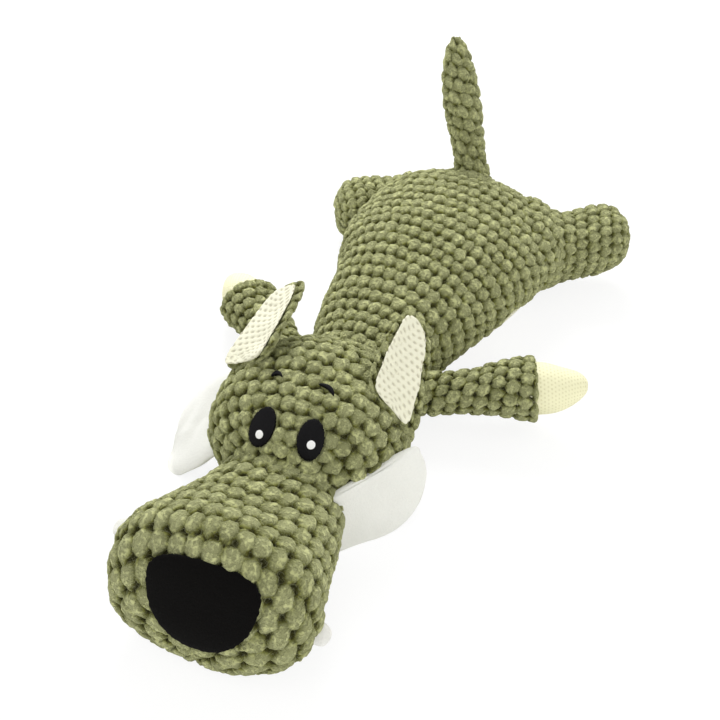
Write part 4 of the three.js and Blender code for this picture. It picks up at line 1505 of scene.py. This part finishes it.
def face_frame(x: float, y: float, z: float, tilt: float, lean: float = 0.0) -> Matrix:
    """Frame of a patch on the face, its Z axis tilted up from straight ahead; angles in degrees."""
    turn = Matrix.Rotation((90 - tilt) * DEGREE, 4, "X") @ Matrix.Rotation(lean * DEGREE, 4, "Z")
    return Matrix.Translation((x, y, z)) @ turn


@dataclass
class Flap:
    """Ear, ruff or tooth: a flat form that stands on its root line.

    Attributes:
        pivot: middle of the root line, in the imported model's frame.
        root_line: direction of the root line, the flap's X axis.
        reach: direction of its length, the flap's Y axis.
        length: from the root line to the tip.
        half_width: what the widths are shares of.
        depth: how far it runs on into the head.
        widths: along and half width, as shares of length and half width.
        squareness: exponent of its cross section's superellipse.
        taper: share of its thickness that is lost at the tip.
        cup: how far its edges curl to its face.
        corner: how far its root runs on at the end where X is positive, or negative if less than 0.
        aside: how far the whole flap lies to +X.
    """

    pivot: Vector
    root_line: Vector
    reach: Vector
    length: float
    half_width: float
    depth: float
    widths: tuple[tuple[float, float], ...]
    squareness: float = 2.4
    taper: float = 0.0
    cup: float = 0.0
    corner: float = 0.0
    aside: float = 0.0

    @property
    def matrix(self) -> Matrix:
        """Place of the flap: X along the root line, Y along its length, Z to its face."""
        x, y = self.root_line.normalized(), self.reach.normalized()
        turn = Matrix((x, y, x.cross(self.reach).normalized())).transposed().to_4x4()
        return Matrix.Translation(self.pivot) @ turn

    def form(self, near: float, far: float) -> Form:
        """A layer of the flap between the heights near and far over its middle sheet.

        Args:
            near: height of the layer's underside.
            far: height of its face.

        Returns:
            The layer, in the flap's frame.
        """
        middle, half = (near + far) / 2, (far - near) / 2
        rows = []
        for along, width in self.widths:
            thick = half * (1.0 - self.taper * along**2 if width > 0 else 0.0)
            rows.append((along, width, (middle + thick) / half, (middle - thick) / half))
        total = self.length + self.depth
        return Form(
            total, self.half_width, half, -self.depth, tuple(rows), squareness=self.squareness
        )

    def shape(self, points: Array) -> Array:
        """Moves the flap aside, curls its edges and lets one end of its root run on.

        The last two fade towards the tip; the curl grows with the square of the place across,
        the corner with its 1.5th power.

        Args:
            points: points in the flap's frame.

        Returns:
            The moved points.
        """
        points = points + np.array((self.aside, 0.0, 0.0))
        along = np.clip(points[..., 1] / self.length, 0.0, 1.0)
        across = points[..., 0] / self.half_width
        curl = self.cup * across**2 * (1.0 - along / 2.0)
        end = np.clip(across * math.copysign(1.0, self.corner), 0.0, 1.2) ** 1.5
        return points + np.stack([0 * curl, -abs(self.corner) * end * (1.0 - along), curl], -1)


@dataclass
class Head:
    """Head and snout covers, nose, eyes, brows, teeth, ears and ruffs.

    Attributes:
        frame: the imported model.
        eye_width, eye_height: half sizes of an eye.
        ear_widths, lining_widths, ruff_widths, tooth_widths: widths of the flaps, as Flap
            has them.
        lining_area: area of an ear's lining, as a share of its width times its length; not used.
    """

    frame: dict
    eye_width: float = 7.1 * MM
    eye_height: float = 10.6 * MM
    ear_widths: tuple = (
        (0.0, 0.0), (0.02, 0.9), (0.14, 1.1), (0.3, 1.08), (0.5, 1.0), (0.65, 0.9), (0.8, 0.77),
        (0.9, 0.62), (0.97, 0.4), (1.0, 0.0),
    )
    lining_widths: tuple = (
        (0.0, 0.0), (0.02, 0.78), (0.14, 0.94), (0.3, 0.92), (0.5, 0.86), (0.65, 0.78), (0.8, 0.68),
        (0.9, 0.57), (0.97, 0.39), (1.0, 0.0),
    )
    ruff_widths: tuple = (
        (0.0, 0.0), (0.03, 0.75), (0.2, 0.9), (0.4, 0.98), (0.6, 1.0), (0.78, 0.95), (0.9, 0.82),
        (0.97, 0.55), (1.0, 0.0),
    )
    tooth_widths: tuple = (
        (0.0, 0.0), (0.05, 0.8), (0.4, 1.0), (0.7, 0.95), (0.88, 0.75), (0.97, 0.4), (1.0, 0.0),
    )
    lining_area: float = 0.82

    def eye_frame(self, side: Side) -> Matrix:
        """Frame of an eye's embroidery."""
        x = (1.2 + side.value * 14) * MM
        return face_frame(x, -104 * MM, 62 * MM, 28.0, side.value * 8.0)

    def under_eyes(self, points: Array) -> Array:
        """1 where an eye's embroidery holds the plush down, 0 beyond it.

        Args:
            points: points of the head's skin.

        Returns:
            A share from 0 to 1 for each point.
        """
        local = transformed(HEAD_PLACE.inverted(), points)
        held = np.zeros(points.shape[:-1])
        for side in Side:
            x, y, _ = np.moveaxis(transformed(self.eye_frame(side).inverted(), local), -1, 0)
            beyond = smooth_step(0.9, 1.25, np.hypot(x / self.eye_width, y / self.eye_height))
            held = np.maximum(held, 1.0 - beyond)
        return held

    def swell_to_snout(self, points: Array) -> Array:
        """How far the head swells where the snout meets it."""
        return fillet_swell(SNOUT.depth(transformed(HEAD_PLACE.inverted(), points)), 5 * MM)

    def build_covers(self) -> None:
        """Makes the head and snout covers."""
        plush = Popcorn(pitch=8.8 * MM, unevenness=0.13, shadow=0.88, seed=21)
        head = Cover(
            "head_plush", HEAD, plush, HEAD_PLACE,
            seed=7, swell=self.swell_to_snout, press=self.under_eyes, floor=True,
        ).build()
        dress(head, POPCORN_PLUSH, "head_cover", body="head")
        plush = Popcorn(pitch=9.3 * MM, row=12.8 * MM, top=0.9 * MM, seed=31)
        snout = Cover(
            "snout_plush", SNOUT, plush, HEAD_PLACE, spacing=0.85 * MM, seed=8, floor=True
        ).build()
        dress(snout, POPCORN_PLUSH, "snout_cover", body="head")

    def build_face(self) -> None:
        """Makes the nose, the eyes with their glints and the brows."""
        nose_y = SNOUT.start - 0.94 * SNOUT.length
        patches = [(VELOUR, "nose_patch", Patch(
            "nose_velour", SNOUT, face_frame(4 * MM, nose_y, 46.4 * MM, 24.0), 31 * MM, 22.8 * MM,
            base=-1.5 * MM, top=2.6 * MM, squareness=2.5, narrowing=0.26, waist=0.4,
            ragged=0.45 * MM, spacing=0.8 * MM, reach=34 * MM,
        ))]
        for side, brow_x, brow_y, lean, brow_length in (
            (Side.LEFT, 14.2, -79.5, -24, 5.4), (Side.RIGHT, -15.4, -78.5, 10, 3.3),
        ):
            word, eye = side.word, self.eye_frame(side)
            glint = eye @ Matrix.Translation((0.8 * MM, (side.value * 0.7 - 2.9) * MM, 0.0))
            brow = face_frame(brow_x * MM, brow_y * MM, HEAD.height, 60.0, lean)
            patches += [
                (BLACK_THREAD, f"eye_{word}", Patch(
                    f"eye_stitching_{word}", HEAD, eye, self.eye_width, self.eye_height,
                    base=-1.6 * MM, top=1.5 * MM, ragged=0.3 * MM, ridge=0.7 * MM, spacing=0.3 * MM,
                )),
                (WHITE_THREAD, f"eye_glint_{word}", Patch(
                    f"eye_glint_stitching_{word}", HEAD, glint, 2.2 * MM, 2.2 * MM,
                    base=1.0 * MM, top=2.0 * MM, ridge=0.7 * MM, spacing=0.25 * MM,
                )),
                (BLACK_THREAD, f"brow_{word}", Patch(
                    f"brow_stitching_{word}", HEAD, brow, brow_length * MM, 1.2 * MM,
                    base=-0.5 * MM, top=1.7 * MM, arch=2.0 * MM, spacing=0.3 * MM,
                )),
            ]
        for finish, node, patch in patches:
            dress(patch.build(), finish, node, body="head")

    def build_ears(self) -> None:
        """Makes the ears: a plush back and a mesh lining each, cupped and laid back.

        Rise and lean are the angles of an ear's length, corner is the flap's, inward and aside
        say where back and lining lie across it, and width is the lining's half width.
        """
        for side, rise, lean, corner, inward, aside, width in (
            (Side.LEFT, 29, 0, 5, 0, -1.0, 15), (Side.RIGHT, 25, 6, 1, 3, -1.5, 17),
        ):
            word, sign = side.word, side.value
            pivot, axis = joint_vectors(self.frame, f"ear_{word}_fold")
            rise, lean = rise * DEGREE, lean * DEGREE
            reach = Vector((-sign * math.tan(lean), math.cos(rise), math.sin(rise)))
            reach.rotate(Matrix.Rotation(HEAD_TURN, 3, "Z"))
            flap = Flap(
                pivot, axis, reach, 48 * MM, 17 * MM, 8 * MM, self.ear_widths,
                cup=4 * MM, corner=sign * corner * MM, aside=-sign * inward * MM,
            )
            plush = Popcorn(7.8 * MM, 7.8 * MM, height=2.4 * MM, top=0.8 * MM, seed=41 + sign)
            back = Cover(
                f"ear_plush_{word}", flap.form(-2.9 * MM, 1.1 * MM), plush, flap.matrix,
                spacing=0.7 * MM, lumps=0.3 * MM, bend=flap.shape,
            ).build()
            across = Blend.about("head", f"{word}_ear", pivot, reach * 6 * MM, reach * 6 * MM)
            dress(back, POPCORN_PLUSH, f"ear_back_{word}", across=across)
            form = replace(
                flap, length=44.5 * MM, half_width=width * MM, widths=self.lining_widths
            ).form(1.9 * MM, 3.3 * MM)
            lining = Cover(
                f"ear_mesh_{word}", form, HoledMesh(), flap.matrix,
                spacing=0.5 * MM, lumps=0.4 * MM, lump_length=18 * MM,
                bend=replace(flap, aside=sign * aside * MM).shape,
            ).build()
            dress(lining, CREAM_MESH, f"ear_lining_{word}", across=across)

    def build_ruffs(self) -> None:
        """Makes the padded fleece ruffs that hang from the cheeks.

        Hang and slant are the angles of a ruff's length, and corner is the flap's.
        """
        for side, length, half_width, hang, slant, corner in (
            (Side.LEFT, 32, 37, 80, 16, 5), (Side.RIGHT, 40, 31, 38, 14, 6),
        ):
            word, sign = side.word, side.value
            pivot, axis = joint_vectors(self.frame, f"cheek_ruff_{word}_flap")
            line, hang = axis * -sign, hang * DEGREE
            outward = -line.cross(UP * sign).normalized()
            down = line.cross(outward) * -sign
            reach = outward * math.cos(hang) + down * math.sin(hang)
            reach += line * math.tan(slant * DEGREE)
            reach.normalize()
            flap = Flap(
                pivot, axis, reach, length * MM, half_width * MM, 15 * MM, self.ruff_widths,
                taper=0.45, corner=sign * corner * MM,
            )
            cloth = Plain(wave=0.35 * MM, wavelength=24 * MM, seed=51 + sign)
            fleece = Cover(
                f"cheek_ruff_fleece_{word}", flap.form(-3.4 * MM, 3.4 * MM), cloth, flap.matrix,
                lumps=0.5 * MM, lump_length=36 * MM, bend=flap.shape, floor=True,
            ).build()
            across = Blend.about("head", f"{word}_ruff", pivot, reach * 5 * MM, reach * 5 * MM)
            dress(fleece, FLEECE, f"cheek_ruff_{word}", across=across)

    def build_teeth(self) -> None:
        """Makes the felt teeth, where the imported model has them.

        Forward and around say where a tooth's root lies on the snout, and hang how it droops.
        """
        for side, forward, around, hang in ((Side.LEFT, 188, -16, 28), (Side.RIGHT, 178, 9, 0)):
            word, hang = side.word, hang * DEGREE
            t = SNOUT.place_along((forward * MM + SNOUT.start) / SNOUT.length)
            angle = around * DEGREE if side is Side.LEFT else np.pi - around * DEGREE
            behind, root, ahead = SNOUT.skin(t + np.array([-1e-3, 0.0, 1e-3]), np.full(3, angle))
            line = Vector(ahead - behind)
            line.z = 0.0
            line.normalize()
            reach = -line.cross(UP * side.value) * math.cos(hang) - UP * math.sin(hang)
            flap = Flap(
                Vector(root), line * -side.value, reach, 8 * MM, 6.5 * MM, 5 * MM, self.tooth_widths
            )
            felt = Cover(
                f"tooth_felt_{word}", flap.form(-1.9 * MM, 1.9 * MM), Plain(),
                HEAD_PLACE @ flap.matrix, spacing=0.4 * MM, lumps=0.1 * MM,
            ).build()
            dress(felt, FELT, f"tooth_{word}", body="head")

    def build(self) -> None:
        """Makes all pieces of the head, with those that turn on it."""
        self.build_covers()
        self.build_face()
        self.build_ears()
        self.build_ruffs()
        self.build_teeth()


# --- Inside the toy ---


@dataclass
class Stuffing:
    """The paddings and the squeaker inside the covers.

    Attributes:
        frame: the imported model.
        voxel: size of the remeshed paddings' faces.
        sink, waves: how far a padding's skin is sunk, and the height of its unevenness.
        wavelength: its wavelength.
    """

    frame: dict
    voxel: float = 3.0 * MM
    sink: float = 1.75 * MM
    waves: float = 0.5 * MM
    wavelength: float = 16 * MM

    def padding(self, node: str, body: str, seed: int) -> None:
        """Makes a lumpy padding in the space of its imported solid.

        A merged copy of the solid is remeshed, and its points move inwards by slow waves.

        Args:
            node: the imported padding.
            body: body that it rides on.
            seed: seed of its unevenness.
        """
        piece = linked(f"{node}_fibre", self.frame["nodes"][node].data.copy())
        remesh = piece.modifiers.new("remesh", "REMESH")
        remesh.mode = "VOXEL"
        remesh.voxel_size = self.voxel
        evaluated = piece.evaluated_get(bpy.context.evaluated_depsgraph_get())
        made = bpy.data.meshes.new_from_object(evaluated)
        piece.modifiers.clear()
        piece.data = made
        made.materials.clear()
        points, normals = np.zeros((2, len(made.vertices) * 3), np.float32)
        made.vertices.foreach_get("co", points)
        made.vertices.foreach_get("normal", normals)
        points, normals = points.reshape(-1, 3).astype(float), normals.reshape(-1, 3)
        sink = self.sink + self.waves * ripple(points, self.wavelength, seed)
        points = points - normals * sink[:, None]
        made.vertices.foreach_set("co", points.ravel().astype(np.float32))
        made.polygons.foreach_set("use_smooth", np.ones(len(made.polygons), bool))
        made.update()
        dress(piece, FIBRE_FILL, node, body=body)

    def build(self) -> None:
        """Makes every padding and finishes the squeaker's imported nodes."""
        bodies = self.frame["record"]["behaviour"]["bodies"]
        fillings = [
            (node, body) for body, nodes in bodies.items() for node in nodes if "filling" in node
        ]
        for seed, (node, body) in enumerate(fillings):
            self.padding(node, body, seed)
        for node in ("squeaker_bladder", "squeaker_reed"):
            materials = self.frame["nodes"][node].data.materials
            materials.clear()
            materials.append(POLYETHYLENE.material())


# --- Studio ---

WHITE = (1.0, 1.0, 1.0, 1.0)


@dataclass
class Studio:
    """Camera, lamps, world and floor.

    Attributes:
        eye: place of the camera.
        azimuth, elevation: from where the camera looks, in degrees.
        lens: its focal length in millimetres.
        target: what the lamps point at.
        lamps: name, place, size and power of each: a large soft one from behind, a near one
            from the side and two in front.
        sky: strength of the even sky that lights the toy; the camera sees it at 1.
        floor_light: strength of the floor's own light, which keeps it white.
        floor_share: share of that light in what the camera sees of the floor.
        floor_half: half size of the floor.
    """

    eye: Vector = field(default_factory=lambda: Vector((238.8, -512.8, 434.0)) * MM)
    azimuth: float = 29.5
    elevation: float = 40.0
    lens: float = 50.0
    target: Vector = field(default_factory=lambda: Vector((0.0, -0.05, 0.03)))
    lamps: tuple = (
        ("key_lamp", (-0.6, 0.95, 1.15), 0.9, 12.0),
        ("near_lamp", (-0.4, 0.5, 0.6), 0.4, 3.2),
        ("fill_lamp", (1.2, -0.9, 0.8), 1.2, 7.0),
        ("side_lamp", (-0.9, -0.9, 1.1), 1.2, 4.0),
    )
    sky: float = 0.66
    floor_light: float = 1.07
    floor_share: float = 0.8
    floor_half: float = 6.0

    def place(self, name: str, data: bpy.types.ID, place: Vector, back: Vector) -> bpy.types.Object:
        """Puts a camera or lamp at a place, with its back to a direction.

        Args:
            name: name of the object.
            data: the camera or lamp.
            place: where it stands.
            back: direction that its back points to.

        Returns:
            The object.
        """
        thing = linked(name, data)
        thing.location = place
        thing.rotation_euler = back.to_track_quat("Z", "Y").to_euler()
        return thing

    def build_camera(self) -> None:
        """Puts the camera where the photograph was taken from."""
        a, e = self.azimuth * DEGREE, self.elevation * DEGREE
        back = Vector((math.sin(a) * math.cos(e), -math.cos(a) * math.cos(e), math.sin(e)))
        data = bpy.data.cameras.new("camera")
        data.lens = self.lens
        data.sensor_width = 36.0
        data.clip_start = 0.01
        bpy.context.scene.camera = self.place("camera", data, self.eye, back)

    def build_light(self) -> None:
        """Makes the lamps and the sky."""
        for name, place, size, power in self.lamps:
            data = bpy.data.lights.new(name, "AREA")
            data.shape = "DISK"
            data.size = size
            data.energy = power
            self.place(name, data, Vector(place), Vector(place) - self.target)
        world = bpy.data.worlds.new("studio")
        bpy.context.scene.world = world
        tree = empty_tree(world)
        path = add_node(tree, "LightPath").outputs
        seen = path["Is Camera Ray"]
        for other in ("Is Glossy Ray", "Is Transmission Ray"):
            seen = add_node(tree, "Math", {0: seen, 1: path[other]}, operation="MAXIMUM")
        strength = add_node(tree, "MapRange", {"Value": seen, "To Min": self.sky, "To Max": 1.0})
        sky = add_node(tree, "Background", {"Color": WHITE, "Strength": strength})
        add_node(tree, "OutputWorld", {"Surface": sky})

    def build_floor(self) -> None:
        """A plain white floor that keeps the toy's soft shadow."""
        half = self.floor_half
        mesh = bpy.data.meshes.new("floor")
        corners = [(-half, -half, 0), (half, -half, 0), (half, half, 0), (-half, half, 0)]
        mesh.from_pydata(corners, [], [(0, 1, 2, 3)])
        made = bpy.data.materials.new("white_paper")
        tree = empty_tree(made)
        paper = add_node(tree, "BsdfDiffuse", {"Color": linear("#F4F4F2")})
        white = add_node(tree, "Emission", {"Color": WHITE, "Strength": self.floor_light})
        seen = add_node(tree, "LightPath").outputs["Is Camera Ray"]
        share = add_node(tree, "Math", {0: seen, 1: self.floor_share}, operation="MULTIPLY")
        mixed = add_node(tree, "MixShader", {0: share, 1: paper, 2: white})
        add_node(tree, "OutputMaterial", {"Surface": mixed})
        mesh.materials.append(made)
        linked("floor", mesh)

    def build(self) -> None:
        """Makes the whole studio."""
        bpy.context.scene.view_settings.view_transform = "Standard"
        self.build_camera()
        self.build_light()
        self.build_floor()


def main() -> None:
    """Builds the studio, then the toy's pieces in order."""
    logging.basicConfig(level=logging.INFO, format="%(message)s")
    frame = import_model()
    Studio().build()
    maker = Limbs(frame)
    limbs = maker.limbs()
    Torso(limbs).build()
    for limb in limbs:
        limb.build()
        if limb.name.startswith("foreleg"):
            maker.paw(limb)
    Head(frame).build()
    Stuffing(frame).build()


if __name__ == "__main__":
    main()
